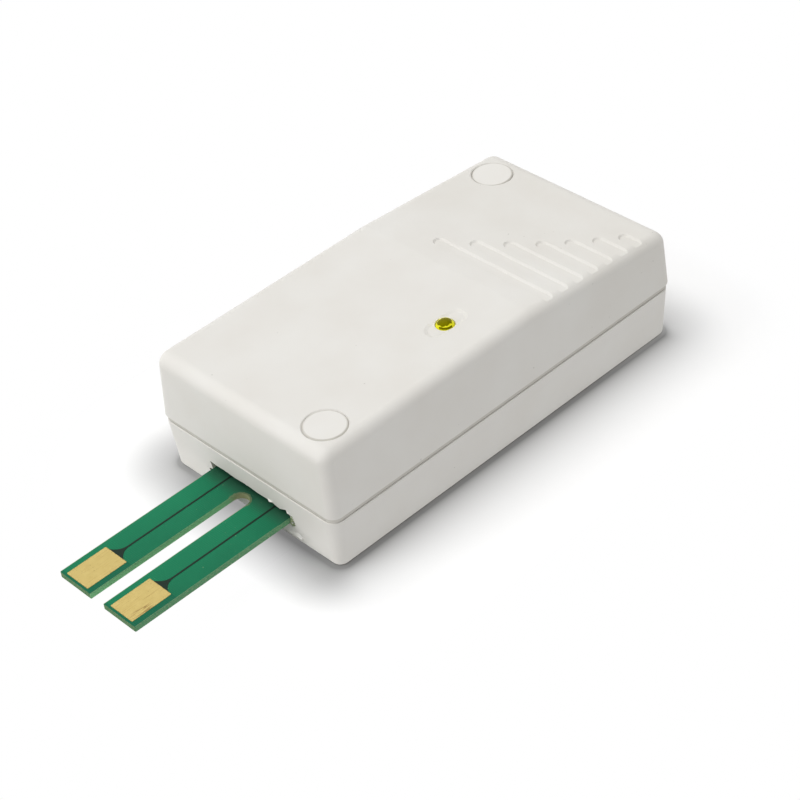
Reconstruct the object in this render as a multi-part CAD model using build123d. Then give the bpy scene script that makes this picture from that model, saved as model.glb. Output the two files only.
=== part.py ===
from build123d import *
import math
import os

# A water leak sensor: a two-part moulded case, and a circuit board whose front end reaches
# out through the case as a fork, with a bare gold pad on each tine.
# Millimetres, +Z up, -Y towards the fork. The origin is the centre of the underside.

# Case
case_width = 63.0
case_length = 120.0
case_height = 35.0
slope_run = 49.8
slope_drop = 3.5
seam_level = 16.0
seam_gap = 1.3
seam_step = 0.12
seam_depth = 0.5
cover_draft = 1.2
cover_end_draft = 0.6
base_draft = 1.2
corner_radius = 3.0
base_corner_radius = 3.6
inner_corner_radius = 2.0
inner_edge_radius = 1.2
end_edge_radius = 3.6
foot_edge_radius = 1.0
seam_edge_radius = 0.3
wall = 2.0
roof_thickness = 2.0
floor_thickness = 2.0
rib_thickness = 1.2
skirt_wall = 0.7
skirt_clearance = 0.1
lip_height = 2.0
lip_clearance = 0.15
overrun = 1.0

# Stepped grooves in the sloping top, and the shares of the half width where each begins
groove_width = 3.4
groove_depth = 0.45
groove_bank = 0.5
groove_ramp = 0.65
groove_pitch = 5.45
groove_offset = 7.35
groove_start_shares = (-0.34, -0.096, 0.114, 0.301, 0.459, 0.6, 0.722)
roof_rib_height = 1.5
roof_rib_shares = (0.3, 0.7)

# Case screws at two opposite corners, and the caps that hide them
screw_side_margin = 9.5
screw_end_margin = 9.5
screw_shift = -0.4
screw_radius = 1.45
screw_length = 12.0
screw_head_radius = 2.8
screw_head_height = 2.1
screw_fit = 0.05
screw_tip_room = 1.0
recess_radius = 1.1
recess_depth = 1.0
screw_crown_share = 0.9
boss_radius = 4.0
boss_top = 12.0
pillar_radius = 5.0
pillar_seat = 4.0
well_radius = 3.5
cap_radius = 5.5
cap_thickness = 1.2
cap_fit = 0.05
cap_bevel = 0.25
cap_support = 1.5
cap_skirt_length = 3.0
cap_skirt_wall = 0.8

# Circuit board and the fork that it ends in
board_thickness = 1.6
board_level = 5.6
board_clearance = 1.0
board_corner_radius = 1.0
fork_width = 28.0
fork_gap = 5.0
fork_reach = 47.0
fork_gap_stop = 0.4
fork_tip_radius = 0.3
copper_thickness = 0.07
pad_width = 8.0
pad_length = 11.8
pad_margin = 0.65
pad_corner_radius = 0.3
track_width = 0.5
track_inside = 4.0
drop_width = 5.5
drop_length = 3.8
drop_waist_share = 0.35
hole_fit = 0.2

# Hand-cut slot in the front wall: its room round the fork, and its outline as shares of
# its half width and of its height
slot_side_room = 0.75
slot_room_above = 2.0
slot_room_below = 3.3
slot_shift = -0.25
slot_outline_shares = (
    (-0.985, 0.0), (-0.975, 0.42), (-1.07, 0.5), (-1.03, 0.6), (-0.95, 0.65), (-0.97, 1.03),
    (-0.83, 0.98), (-0.62, 1.0), (-0.34, 0.96), (-0.06, 1.0), (0.22, 0.95), (0.52, 0.97),
    (0.64, 0.91), (0.75, 0.87), (0.91, 1.02), (0.925, 0.91), (1.0, 0.85), (0.985, 0.45),
    (1.03, 0.16), (1.0, 0.0),
)

# Posts and screws that hold the board
post_radius = 3.0
post_spacing = 6.5
post_corner_shift = 2.5
board_screw_radius = 1.1
board_screw_length = 5.0
board_screw_head_radius = 2.1
board_screw_head_height = 1.5

# Battery holder with two cells side by side, as wide as the corner fastenings leave room for
cell_length = 50.2
cell_edge_radius = 0.8
cell_nub_radius = 2.6
cell_nub_height = 1.3
holder_wall = 1.2
holder_divider = 0.6
holder_floor = 1.2
holder_height = 13.0
holder_side_room = 1.95
holder_rear_room = 1.19
holder_window_length = 18.0
cell_room = 0.3
contact_thickness = 0.4
contact_width = 8.0
contact_height = 10.0
spring_travel = 2.0
spring_span = 7.0
tail_width = 1.0
tail_length = 1.3

# Indicator lamp on its spacer
led_side_margin = 14.8
led_gap = 3.0
led_radius = 2.5
led_flange_radius = 2.9
led_flange_height = 1.0
led_height = 8.7
led_proud = 1.51
led_fit = 0.05
led_lead_size = 0.5
led_lead_pitch = 2.54
led_spacer_radius = 2.8
led_collar_wall = 1.5
led_collar_height = 2.0
dimple_length = 12.8
dimple_width = 5.7
dimple_depth = 0.26
dimple_bank = 0.9
dimple_shift = 0.25

# Parts on the board: places are shares of the board's half width and of the front zone
chip_length = 12.8
chip_width = 7.5
chip_height = 2.3
chip_standoff = 0.1
chip_lead_count = 10
chip_lead_pitch = 1.27
chip_lead_width = 0.42
chip_lead_thickness = 0.25
chip_lead_reach = 1.4
chip_shares = (0.2, 0.56)
radio_length = 18.0
radio_width = 14.0
radio_thickness = 1.0
shield_length = 14.0
shield_width = 10.5
shield_height = 2.2
shield_wall = 0.3
shield_edge_radius = 0.4
radio_shares = (-0.44, 0.82)
crystal_length = 11.4
crystal_width = 4.7
crystal_height = 3.5
crystal_flange = 0.4
crystal_shares = (0.27, 0.86)
capacitor_radius = 4.0
capacitor_height = 11.5
capacitor_groove = 0.35
capacitor_groove_level = 1.8
capacitor_edge_radius = 0.5
capacitor_across_share = 0.74
capacitor_gap = 0.9
chip_part_length = 2.0
chip_part_width = 1.25
chip_part_height = 0.55
resistor_row_share = 0.31
resistor_shares = (-0.42, -0.28, -0.14, 0.0, 0.14, 0.28, 0.42)
ceramic_row_share = 0.19
ceramic_shares = (-0.35, -0.21, -0.07, 0.07, 0.21, 0.35)
ceramic_height = 1.0
antenna_radius = 0.6
antenna_rise = 9.5
antenna_bend = 3.0
antenna_across_share = -0.89
antenna_shares = (0.4, 0.96)
antenna_tail = 1.5

# Learn button
button_size = 6.0
button_height = 3.4
button_plate_thickness = 0.3
button_plunger_radius = 1.75
button_collar_radius = 2.2
button_collar_height = 0.6
button_fit = 0.05
button_proud = 1.3
button_travel = 0.25
button_leg_width = 0.7
button_leg_thickness = 0.3
button_leg_length = 3.0
button_across_share = 0.77
button_gap = 5.7

# Levels and lengths worked out from the sizes above
base_top = seam_level - seam_gap
lip_top = seam_level + lip_height
rebate_inset = seam_depth + skirt_wall
lip_inset = rebate_inset + lip_clearance
skirt_foot = base_top + skirt_clearance
board_top = board_level + board_thickness
slope_start = case_length / 2 - slope_run
slope_angle = math.atan2(slope_drop, slope_run)
tine_width = (fork_width - fork_gap) / 2
tine_across = (fork_width - tine_width) / 2
fork_tip = -case_length / 2 - fork_reach
screw_across = case_width / 2 - screw_side_margin
screw_along = case_length / 2 - screw_end_margin
led_across = case_width / 2 - led_side_margin
holder_left = -screw_across + pillar_radius + holder_side_room
holder_right = screw_across - board_screw_head_radius - holder_side_room
holder_width = holder_right - holder_left
holder_across = (holder_left + holder_right) / 2
cell_pitch = (holder_width + holder_divider) / 2 - holder_wall
cell_radius = (cell_pitch - holder_divider) / 2 - cell_room
cell_level = board_top + holder_floor + cell_room + cell_radius
holder_length = cell_length + spring_travel + 2 * (contact_thickness + holder_wall)
dimple_level = case_height - dimple_depth
led_top = dimple_level + led_proud
led_foot = led_top - led_height
slot_low = board_level - slot_room_below
slot_height = slot_room_below + board_thickness + slot_room_above


def base_inset(level):
    """How far the base's outer face stands inside the case's widest outline at a level."""
    return seam_step + base_draft * (base_top - level) / base_top


def top_level(along):
    """Height of the case's top at a place along its length."""
    return case_height - max(along - slope_start, 0) * math.tan(slope_angle)


board_inset = base_inset(board_level) + wall + board_clearance
board_width = case_width - 2 * board_inset
board_end = case_length / 2 - board_inset
holder_rear = board_end - holder_rear_room
holder_front = holder_rear - holder_length
led_along = holder_front - led_gap - led_spacer_radius - led_fit
zone_length = board_end + led_along - led_spacer_radius
post_beside_boss = screw_along - boss_radius - post_spacing
post_at_corner = screw_along - post_corner_shift
capacitor_along = capacitor_radius + capacitor_gap + board_screw_head_radius - post_beside_boss
button_along = capacitor_along + capacitor_radius + button_gap + button_size / 2
screw_places = ((screw_across, screw_shift - screw_along), (-screw_across, screw_shift + screw_along))
post_places = (
    (-screw_across, -post_at_corner),
    (screw_across, -post_beside_boss),
    (-screw_across, post_beside_boss),
    (screw_across, post_at_corner),
)


def on_board(shares):
    """Place on the board's top from shares of its half width and of its front zone."""
    across_share, along_share = shares
    return Pos(across_share * board_width / 2, along_share * zone_length - board_end, board_top)


capacitor_place = Pos(capacitor_across_share * board_width / 2, capacitor_along, board_top)
button_place = Pos(button_across_share * board_width / 2, button_along, board_top)


def block(width, length, low, high, radius=0):
    """Upright block centred on the Z axis between two levels, with round corners if asked."""
    plan = RectangleRounded(width, length, radius) if radius else Rectangle(width, length)
    return Pos(0, 0, low) * extrude(plan, high - low)


def post(radius, low, high):
    """Upright cylinder on the Z axis between two levels."""
    return Pos(0, 0, low) * extrude(Circle(radius), high - low)


def case_block(low, high, low_inset, high_inset, radius):
    """Block with the case's plan between two levels, drafted evenly from one inset to the other."""
    plan_inset = min(low_inset, high_inset)
    plan = RectangleRounded(case_width - 2 * plan_inset, case_length - 2 * plan_inset, radius)
    height = high - low
    draft = math.degrees(math.atan2(abs(high_inset - low_inset), height))
    if high_inset < low_inset:
        return Pos(0, 0, high) * extrude(plan, height, dir=(0, 0, -1), taper=draft)
    return Pos(0, 0, low) * extrude(plan, height, taper=draft)


def slope_plane(depth):
    """Plane of the sloping rear of the top, sunk into the case by a depth."""
    downhill = Vector(0, math.cos(slope_angle), -math.sin(slope_angle))
    normal = Vector(1, 0, 0).cross(downhill)
    start = Vector(0, slope_start, case_height)
    return Plane(origin=start - normal * depth, x_dir=Vector(1, 0, 0), z_dir=normal)


def pocket(length, width, depth, bank, ramp):
    """Long round-ended recess below the XY plane; its walls lean by a bank, the rear one by a ramp."""
    sections = []
    for level in (-depth, overrun):
        share = level / depth
        outline = SlotOverall(length + 2 * share * bank, width + share * (bank + ramp))
        sections.append(Pos(0, share * (ramp - bank) / 2, level) * outline)
    return loft(sections, ruled=True)


def wall_prism(size, low, high, draft, plane, run):
    """Long prism along a plane's normal whose two sides lean inwards by a draft from the seam up."""
    steepness = draft / (case_height - seam_level)
    foot = size / 2 - steepness * (low - seam_level)
    head = size / 2 - steepness * (high - seam_level)
    outline = make_face(Polyline((-foot, low), (foot, low), (head, high), (-head, high), close=True))
    return extrude(plane * outline, run / 2, both=True)


# Base shell
def base_slot():
    """Rough opening that was cut into the front wall for the fork."""
    half_width = fork_width / 2 + slot_side_room
    points = []
    for width_share, height_share in slot_outline_shares:
        points.append((slot_shift + width_share * half_width, slot_low + height_share * slot_height))
    outline = make_face(Polyline(*points, close=True))
    depth = base_inset(0) + wall + 2 * overrun
    front = Plane(origin=(0, -case_length / 2 - overrun, 0), x_dir=(1, 0, 0), z_dir=(0, -1, 0))
    return extrude(front * outline, -depth)


def boss_ribs(across, along):
    """Two ribs that tie a screw boss to the walls of its corner."""
    side = math.copysign(case_width / 2 - base_inset(floor_thickness) - wall / 2, across)
    end = math.copysign(case_length / 2 - base_inset(floor_thickness) - wall / 2, along)
    height = board_level - floor_thickness
    middle = floor_thickness + height / 2
    to_side = Pos((across + side) / 2, along, middle) * Box(abs(side - across), rib_thickness, height)
    to_end = Pos(across, (along + end) / 2, middle) * Box(rib_thickness, abs(end - along), height)
    return to_side + to_end


def base_shell():
    """Lower tray with its lip, two screw bosses and four posts under the board."""
    shell = case_block(0, base_top, base_inset(0), seam_step, base_corner_radius)
    shell = fillet(shell.faces().sort_by(Axis.Z)[0].edges(), foot_edge_radius)
    shell = fillet(shell.faces().sort_by(Axis.Z)[-1].edges(), seam_edge_radius)
    shell += case_block(base_top - wall, lip_top, lip_inset, lip_inset, corner_radius - lip_inset)
    wall_foot = base_inset(floor_thickness) + wall
    shell -= case_block(floor_thickness, base_top, wall_foot, seam_step + wall, inner_corner_radius)
    throat = seam_step + wall
    shell -= case_block(base_top, lip_top + overrun, throat, throat, inner_corner_radius)
    for across, along in screw_places:
        shell += Pos(across, along) * post(boss_radius, floor_thickness - overrun, boss_top)
        shell += boss_ribs(across, along)
    for across, along in post_places:
        shell += Pos(across, along) * post(post_radius, floor_thickness - overrun, board_level)
    pilot_foot = boss_top + pillar_seat - screw_length - screw_tip_room
    for across, along in screw_places:
        shell -= Pos(across, along) * post(screw_radius + screw_fit, pilot_foot, boss_top + overrun)
    for across, along in post_places:
        hole = post(board_screw_radius + screw_fit, floor_thickness, board_level + overrun)
        shell -= Pos(across, along) * hole
    return shell - base_slot()


# Cover shell
def cover_form(inset, depth, low, end_radius, side_radius):
    """Closed form of the cover's outside or, with an inset and a depth, of its hollow."""
    high = case_height - depth
    side_view = Plane(origin=(0, 0, 0), x_dir=(0, 1, 0), z_dir=(1, 0, 0))
    form = wall_prism(case_length - 2 * inset, low, high, cover_end_draft, side_view, case_width)
    form = split(form, bisect_by=slope_plane(depth), keep=Keep.BOTTOM)
    rims = form.edges().filter_by(Axis.X).sort_by(Axis.Z)[2:].sort_by(Axis.Y)
    form = fillet((rims[0], rims[-1]), end_radius)
    front_view = Plane(origin=(0, 0, 0), x_dir=(1, 0, 0), z_dir=(0, -1, 0))
    form &= wall_prism(case_width - 2 * inset, low, high, cover_draft, front_view, case_length)
    sides = form.faces().sort_by(Axis.X)
    round_edges = sides[0].edges().sort_by(Axis.Z)[1:] + sides[-1].edges().sort_by(Axis.Z)[1:]
    return fillet(round_edges, side_radius)


def cover_hollow(depth, low):
    """Inside of the cover below a roof of some depth, down to a level."""
    return cover_form(wall, depth, low, inner_corner_radius, inner_edge_radius)


def groove_cuts():
    """Stepped row of round-ended grooves, each shorter than the one in front of it."""
    right = case_width / 2
    cuts = []
    for index, start_share in enumerate(groove_start_shares):
        left = start_share * case_width / 2
        place = Pos((left + right) / 2, groove_offset + index * groove_pitch, 0)
        groove = pocket(right - left, groove_width, groove_depth, groove_bank, groove_ramp)
        cuts.append(slope_plane(0).location * place * groove)
    return cuts


def pillar(across, along):
    """Tube that hangs from the roof to the boss below it, wider where it carries the cap."""
    roof = top_level(along + cap_radius) - roof_thickness / 2
    shoulder = top_level(along) - cap_thickness - cap_support
    tube = post(pillar_radius, boss_top, shoulder + cap_support / 2)
    tube += post(cap_radius + cap_support / 2, shoulder, roof)
    return Pos(across, along) * tube


def pillar_cuts(across, along):
    """Cap seat, head well and screw hole down through a pillar."""
    cap_top = top_level(along)
    seat = boss_top + pillar_seat
    cuts = post(cap_radius + cap_fit, cap_top - cap_thickness, cap_top + overrun)
    cuts += post(well_radius, seat, cap_top)
    cuts += post(screw_radius + 2 * screw_fit, boss_top - overrun, seat + overrun)
    foot_radius = cap_radius + cap_fit - cap_bevel
    bevel_height = 2 * cap_bevel + overrun
    bevel = Cone(foot_radius, foot_radius + bevel_height, bevel_height,
                 align=(Align.CENTER, Align.CENTER, Align.MIN))
    rim = slope_plane(0) if along > slope_start else Plane.XY
    tilt = Location((0, 0, cap_top), rim.location.orientation)
    cuts += tilt * Pos(0, 0, -2 * cap_bevel) * bevel
    return Pos(across, along) * cuts


def cover_shell():
    """Upper shell with its sloping grooved top, its skirt, lamp dimple and two screw pillars."""
    shell = cover_form(0, 0, seam_level, end_edge_radius, corner_radius)
    shell = fillet(shell.faces().sort_by(Axis.Z)[0].edges(), seam_edge_radius)
    shell += case_block(skirt_foot, lip_top, seam_depth, seam_depth, corner_radius - seam_depth)
    hollow = cover_hollow(roof_thickness, base_top)
    shell -= hollow
    shell -= case_block(base_top, lip_top, rebate_inset, rebate_inset, corner_radius - rebate_inset)
    inside_length = case_length - 2 * wall
    for share in roof_rib_shares:
        rib = Pos(0, slope_start + share * slope_run, case_height - roof_thickness)
        rib *= Box(case_width, rib_thickness, 2 * roof_rib_height + slope_drop)
        under_roof = cover_hollow(roof_thickness + roof_rib_height, seam_level)
        shell += (rib & hollow) - under_roof
    for across, along in screw_places:
        shell += pillar(across, along)
    lamp = Pos(led_across, led_along)
    collar_foot = case_height - roof_thickness - led_collar_height
    collar_top = dimple_level - roof_thickness / 2
    shell += lamp * post(led_radius + led_collar_wall, collar_foot, collar_top)
    shell -= lamp * post(led_radius + led_fit, collar_foot - overrun, case_height + overrun)
    dimple = pocket(dimple_length, dimple_width, dimple_depth, dimple_bank, dimple_bank)
    shell -= lamp * Pos(0, dimple_shift, case_height) * Rot(0, 0, 90) * dimple
    for across, along in screw_places:
        shell -= pillar_cuts(across, along)
    for groove in groove_cuts():
        shell -= groove
    return shell


# Case screws and caps
def pan_screw(radius, length, head_radius, head_height):
    """Pan-head screw hanging from its seat on the XY plane, with a cross recess in its head."""
    rim = (head_radius, head_height / 2)
    side = Polyline((0, 0), (head_radius, 0), rim)
    crown = ThreePointArc(rim, (head_radius / 2, screw_crown_share * head_height), (0, head_height))
    head = revolve(Plane.XZ * make_face(side + crown + Line((0, head_height), (0, 0))), Axis.Z)
    shank = post(radius, radius - length, 0)
    upright = (Align.CENTER, Align.CENTER, Align.MIN)
    tip = Pos(0, 0, -length) * Cone(radius / 3, radius, radius, align=upright)
    screw = head + shank + tip
    width = head_radius * recess_radius / screw_head_radius
    depth = head_height * recess_depth / screw_head_height
    for turn in (0, 90):
        slot = Rot(0, 0, turn) * Box(2 * width, width / 2, 2 * depth)
        screw -= Pos(0, 0, head_height) * slot
    return screw


def case_screws():
    """The two screws that hold the cover down, seated at the bottom of their wells."""
    screw = pan_screw(screw_radius, screw_length, screw_head_radius, screw_head_height)
    seat = boss_top + pillar_seat
    return Compound([Pos(across, along, seat) * screw for across, along in screw_places])


def screw_cap(across, along):
    """Flat round cap whose skirt plugs into the head well."""
    level = top_level(along)
    disc = post(cap_radius, level - cap_thickness, level)
    disc = chamfer(disc.edges().sort_by(Axis.Z)[-1], cap_bevel)
    skirt_radius = well_radius - cap_fit
    skirt = post(skirt_radius, level - cap_thickness - cap_skirt_length, level - cap_thickness / 2)
    skirt -= post(skirt_radius - cap_skirt_wall, level - cap_thickness - cap_skirt_length - overrun,
                  level - cap_thickness)
    return Pos(across, along) * (disc + skirt)


# Circuit board
def board_holes():
    """Upright drills through the board for its screws and for the legs of its parts."""
    drills = []
    for across, along in post_places:
        drills.append((board_screw_radius + hole_fit, Pos(across, along)))
    for side in (-1, 1):
        drills.append((led_lead_size / math.sqrt(2) + hole_fit / 2,
                       Pos(led_across + side * led_lead_pitch / 2, led_along)))
    for along_share in antenna_shares:
        drills.append((antenna_radius + hole_fit / 2, on_board((antenna_across_share, along_share))))
    for side in (-1, 1):
        drills.append((tail_width / 2 + hole_fit, Pos(holder_across + side * cell_pitch / 2, tail_along)))
    for leg in button_leg_places():
        drills.append((button_leg_width / 2 + hole_fit, leg))
    cuts = []
    for radius, place in drills:
        drill = post(radius, board_level - overrun, board_top + overrun)
        cuts.append(Pos(place.position.X, place.position.Y) * drill)
    return cuts


def circuit_board():
    """One board: a notched main part inside the case, and the two tines in front of it."""
    body = block(board_width, 2 * board_end, board_level, board_top, board_corner_radius)
    notch_radius = boss_radius + board_clearance
    for across, along in screw_places:
        corner_across = math.copysign(board_width / 2 + overrun, across)
        corner_along = math.copysign(board_end + overrun, along)
        inner_across = across - math.copysign(notch_radius, across)
        inner_along = along - math.copysign(notch_radius, along)
        notch = block(abs(corner_across - inner_across), abs(corner_along - inner_along),
                      board_level - overrun, board_top + overrun)
        body -= Pos((corner_across + inner_across) / 2, (corner_along + inner_along) / 2) * notch
    stem_rear = -board_end + board_corner_radius + overrun
    stem = block(fork_width, stem_rear - fork_tip, board_level, board_top, fork_tip_radius)
    body += Pos(0, (stem_rear + fork_tip) / 2) * stem
    gap_end = -case_length / 2 - fork_gap_stop - fork_gap / 2
    gap_length = gap_end - fork_tip + overrun
    gap = block(fork_gap, gap_length, board_level - overrun, board_top + overrun)
    body -= Pos(0, gap_end - gap_length / 2) * gap
    body -= Pos(0, gap_end) * post(fork_gap / 2, board_level - overrun, board_top + overrun)
    for drill in board_holes():
        body -= drill
    return body


def on_tine(side, shape):
    """Thin copper shape laid on the top of the left (-1) or right (1) tine."""
    return Pos(side * tine_across, 0, board_top) * extrude(shape, copper_thickness)


def sensing_pad(side):
    """Bare gold-plated pad at the end of a tine."""
    centre = fork_tip + pad_margin + pad_length / 2
    return on_tine(side, Pos(0, centre) * RectangleRounded(pad_width, pad_length, pad_corner_radius))


def sensing_track(side):
    """Copper track that widens as a drop where it meets its pad."""
    start = fork_tip + pad_margin + pad_length
    end = -board_end + track_inside
    waist = start + drop_length
    drop_half = drop_width / 2
    track_half = track_width / 2
    bend = start + drop_waist_share * drop_length
    left = Bezier((-drop_half, start), (-track_half, bend), (-track_half, waist))
    right = Bezier((drop_half, start), (track_half, bend), (track_half, waist))
    sides = Line((-track_half, waist), (-track_half, end)) + Line((track_half, waist), (track_half, end))
    ends = Line((-drop_half, start), (drop_half, start)) + Line((-track_half, end), (track_half, end))
    return on_tine(side, make_face(left + right + sides + ends))


def board_screws():
    """Four small screws that hold the board down on its posts."""
    screw = pan_screw(board_screw_radius, board_screw_length,
                      board_screw_head_radius, board_screw_head_height)
    return Compound([Pos(across, along, board_top) * screw for across, along in post_places])


# Batteries
tail_along = holder_rear - holder_wall - contact_thickness / 2


def cell_place(side):
    """Middle of the left (-1) or right (1) cell's trough, on the cell's axis."""
    return Pos(holder_across + side * cell_pitch / 2, (holder_front + holder_rear) / 2, cell_level)


def battery(side):
    """Round cell lying along Y, with its nub to the rear on the right and to the front on the left."""
    body = Cylinder(cell_radius, cell_length - cell_nub_height)
    body = fillet(body.edges().filter_by(GeomType.CIRCLE), cell_edge_radius)
    nub_base = (cell_length - cell_nub_height) / 2
    body += Pos(0, 0, nub_base + cell_nub_height / 2 - cell_edge_radius / 2) * Cylinder(
        cell_nub_radius, cell_nub_height + cell_edge_radius)
    lying = Pos(0, -cell_nub_height / 2, 0) * Rot(-90, 0, 0) * body
    turn = Rot(0, 0, 0) if side > 0 else Rot(0, 0, 180)
    shift = Pos(0, side * spring_travel / 2, 0)
    return cell_place(side) * shift * turn * lying


def battery_holder():
    """Open moulded tray with two round troughs, finger windows and end walls for the contacts."""
    tray = block(holder_width, holder_length, board_top, board_top + holder_height)
    tray = Pos(holder_across, (holder_front + holder_rear) / 2) * tray
    inside = holder_length - 2 * holder_wall
    pocket_width = contact_width + 2 * hole_fit
    low = board_top + holder_floor
    rim = board_top + holder_height + overrun
    for side in (-1, 1):
        trough = Rot(90, 0, 0) * Cylinder(cell_radius + cell_room, inside)
        tray -= cell_place(side) * trough
        mouth = block(2 * (cell_radius + cell_room), inside, 0, holder_height)
        tray -= cell_place(side) * mouth
        room = block(pocket_width, contact_thickness, low, rim)
        tray -= Pos(holder_across + side * cell_pitch / 2, tail_along) * room
        tail_hole = block(tail_width + hole_fit, contact_thickness, board_top - overrun, low + overrun)
        tray -= Pos(holder_across + side * cell_pitch / 2, tail_along) * tail_hole
    bridge_room = block(cell_pitch + pocket_width, contact_thickness, low, rim)
    tray -= Pos(holder_across, holder_front + holder_wall + contact_thickness / 2) * bridge_room
    window = block(holder_width + overrun, holder_window_length, cell_level, rim)
    return tray - Pos(holder_across, (holder_front + holder_rear) / 2) * window


def contact_plate(width):
    """Flat upright contact plate, with its back on the XZ plane and its foot on the holder's floor."""
    low = board_top + holder_floor
    return Pos(0, contact_thickness / 2) * block(width, contact_thickness, low, low + contact_height)


def contact_bow():
    """Sprung bow in front of a contact plate that presses on a cell's flat end."""
    rise = spring_travel
    radius = (spring_span ** 2 / 4 + rise ** 2) / (2 * rise)
    ring = Circle(radius) - Circle(radius - contact_thickness)
    centre = Pos(contact_thickness + rise - radius, cell_level)
    front = Pos(contact_thickness + radius, cell_level) * Rectangle(2 * radius, spring_span * 2)
    bow = (centre * ring) & front
    upright = Plane(origin=(0, 0, 0), x_dir=(0, 1, 0), z_dir=(1, 0, 0))
    return extrude(upright * bow, contact_width / 4, both=True)


def battery_terminal(side):
    """Rear contact of one cell, with a tail down through the board; sprung for the left cell."""
    terminal = contact_plate(contact_width)
    if side < 0:
        terminal += contact_bow()
    tail = block(tail_width, contact_thickness, board_level - tail_length,
                 board_top + holder_floor + overrun)
    terminal += Pos(0, contact_thickness / 2) * tail
    turned = Rot(0, 0, 180) * terminal
    return Pos(holder_across + side * cell_pitch / 2, holder_rear - holder_wall) * turned


def battery_bridge():
    """Front contact that joins the two cells, sprung for the right one."""
    bridge = contact_plate(cell_pitch + contact_width)
    bridge += Pos(cell_pitch / 2, 0) * contact_bow()
    return Pos(holder_across, holder_front + holder_wall) * bridge


# Indicator lamp
def led_lens():
    """Round-nosed lamp body with a flange at its foot."""
    body = post(led_radius, led_foot, led_top - led_radius)
    body += Pos(0, 0, led_top - led_radius) * Sphere(led_radius)
    body += post(led_flange_radius, led_foot, led_foot + led_flange_height)
    return Pos(led_across, led_along) * body


def led_leads():
    """Two square leads from the lamp down through its spacer and the board."""
    low = board_level - antenna_tail
    lead = block(led_lead_size, led_lead_size, low, led_foot)
    return Compound([Pos(led_across + side * led_lead_pitch / 2, led_along) * lead for side in (-1, 1)])


def led_spacer():
    """Plain round spacer that holds the lamp up at the roof, with a bore for each lead."""
    spacer = post(led_spacer_radius, board_top, led_foot)
    bore = post(led_lead_size / math.sqrt(2) + hole_fit / 2, board_top - overrun, led_foot + overrun)
    for side in (-1, 1):
        spacer -= Pos(side * led_lead_pitch / 2, 0) * bore
    return Pos(led_across, led_along) * spacer


# Parts on the board
def microcontroller():
    """Moulded chip body, a little narrower at its top and foot than at its waist."""
    slant = chip_height / 10
    sections = []
    for level_share, inset in ((0, slant), (0.5, 0), (1, slant)):
        plan = Rectangle(chip_length - 2 * inset, chip_width - 2 * inset)
        sections.append(Pos(0, 0, chip_standoff + level_share * (chip_height - chip_standoff)) * plan)
    return on_board(chip_shares) * loft(sections, ruled=True)


def microcontroller_leads():
    """Two rows of gull-wing leads that come out of the chip's waist and stand on the board."""
    middle = (chip_height + chip_standoff) / 2
    half = chip_lead_thickness / 2
    knee = chip_width / 2 + chip_lead_reach / 3
    toe = chip_width / 2 + chip_lead_reach
    shape = Polyline(
        (chip_width / 2, middle + half), (knee + half, middle + half), (knee + half, chip_lead_thickness),
        (toe, chip_lead_thickness), (toe, 0), (knee - half, 0), (knee - half, middle - half),
        (chip_width / 2, middle - half), close=True)
    side_view = Plane(origin=(0, 0, 0), x_dir=(0, 1, 0), z_dir=(1, 0, 0))
    lead = extrude(side_view * make_face(shape), chip_lead_width / 2, both=True)
    leads = []
    for turn in (0, 180):
        for index in range(chip_lead_count):
            across = (index - (chip_lead_count - 1) / 2) * chip_lead_pitch
            leads.append(on_board(chip_shares) * Rot(0, 0, turn) * Pos(across, 0) * lead)
    return Compound(leads)


def radio_board():
    """Small daughter board of the radio, soldered flat on the main board."""
    return on_board(radio_shares) * block(radio_length, radio_width, 0, radio_thickness)


def radio_shield():
    """Open-bottomed pressed can over the radio's chips."""
    top = radio_thickness + shield_height
    can = block(shield_length, shield_width, radio_thickness, top, 2 * shield_edge_radius)
    can = fillet(can.faces().sort_by(Axis.Z)[-1].edges(), shield_edge_radius)
    can -= block(shield_length - 2 * shield_wall, shield_width - 2 * shield_wall,
                 radio_thickness - overrun, top - shield_wall, shield_edge_radius)
    return on_board(radio_shares) * can


def crystal():
    """Quartz crystal in a flat oval can on a thin flange."""
    can = extrude(SlotOverall(crystal_length - 2 * crystal_flange, crystal_width - 2 * crystal_flange),
                  crystal_height)
    can = fillet(can.faces().sort_by(Axis.Z)[-1].edges(), crystal_flange)
    can += extrude(SlotOverall(crystal_length, crystal_width), crystal_flange)
    return on_board(crystal_shares) * can


def reservoir_capacitor():
    """Standing round capacitor with a rolled groove near its foot."""
    can = post(capacitor_radius, 0, capacitor_height)
    can = fillet(can.edges().filter_by(GeomType.CIRCLE), capacitor_edge_radius)
    rolled = Torus(capacitor_radius + capacitor_groove / 2, capacitor_groove)
    can -= Pos(0, 0, capacitor_groove_level) * rolled
    return capacitor_place * can


def chip_parts(across_shares, along_share, height):
    """Row of small soldered chip parts across the board."""
    part = block(chip_part_width, chip_part_length, 0, height)
    return Compound([on_board((across_share, along_share)) * part for across_share in across_shares])


def loop_antenna():
    """Bent wire that rises from the board, runs back beside its edge and comes down again."""
    low = on_board((antenna_across_share, antenna_shares[0])).position
    high = on_board((antenna_across_share, antenna_shares[1])).position
    tail = board_level - antenna_tail
    rise = board_top + antenna_rise
    corners = ((low.X, low.Y, tail), (low.X, low.Y, rise), (high.X, high.Y, rise), (high.X, high.Y, tail))
    route = FilletPolyline(*corners, radius=antenna_bend)
    section = Plane(origin=corners[0], z_dir=(0, 0, 1)) * Circle(antenna_radius)
    return sweep(section, path=route)


# Learn button
def button_leg_places():
    """Places of the button's four legs, just outside its two sides."""
    centre = button_place.position
    places = []
    for side in (-1, 1):
        for end in (-1, 1):
            across = side * (button_size + button_leg_thickness) / 2
            places.append(Pos(centre.X + across, centre.Y + end * button_size / 4))
    return places


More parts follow.
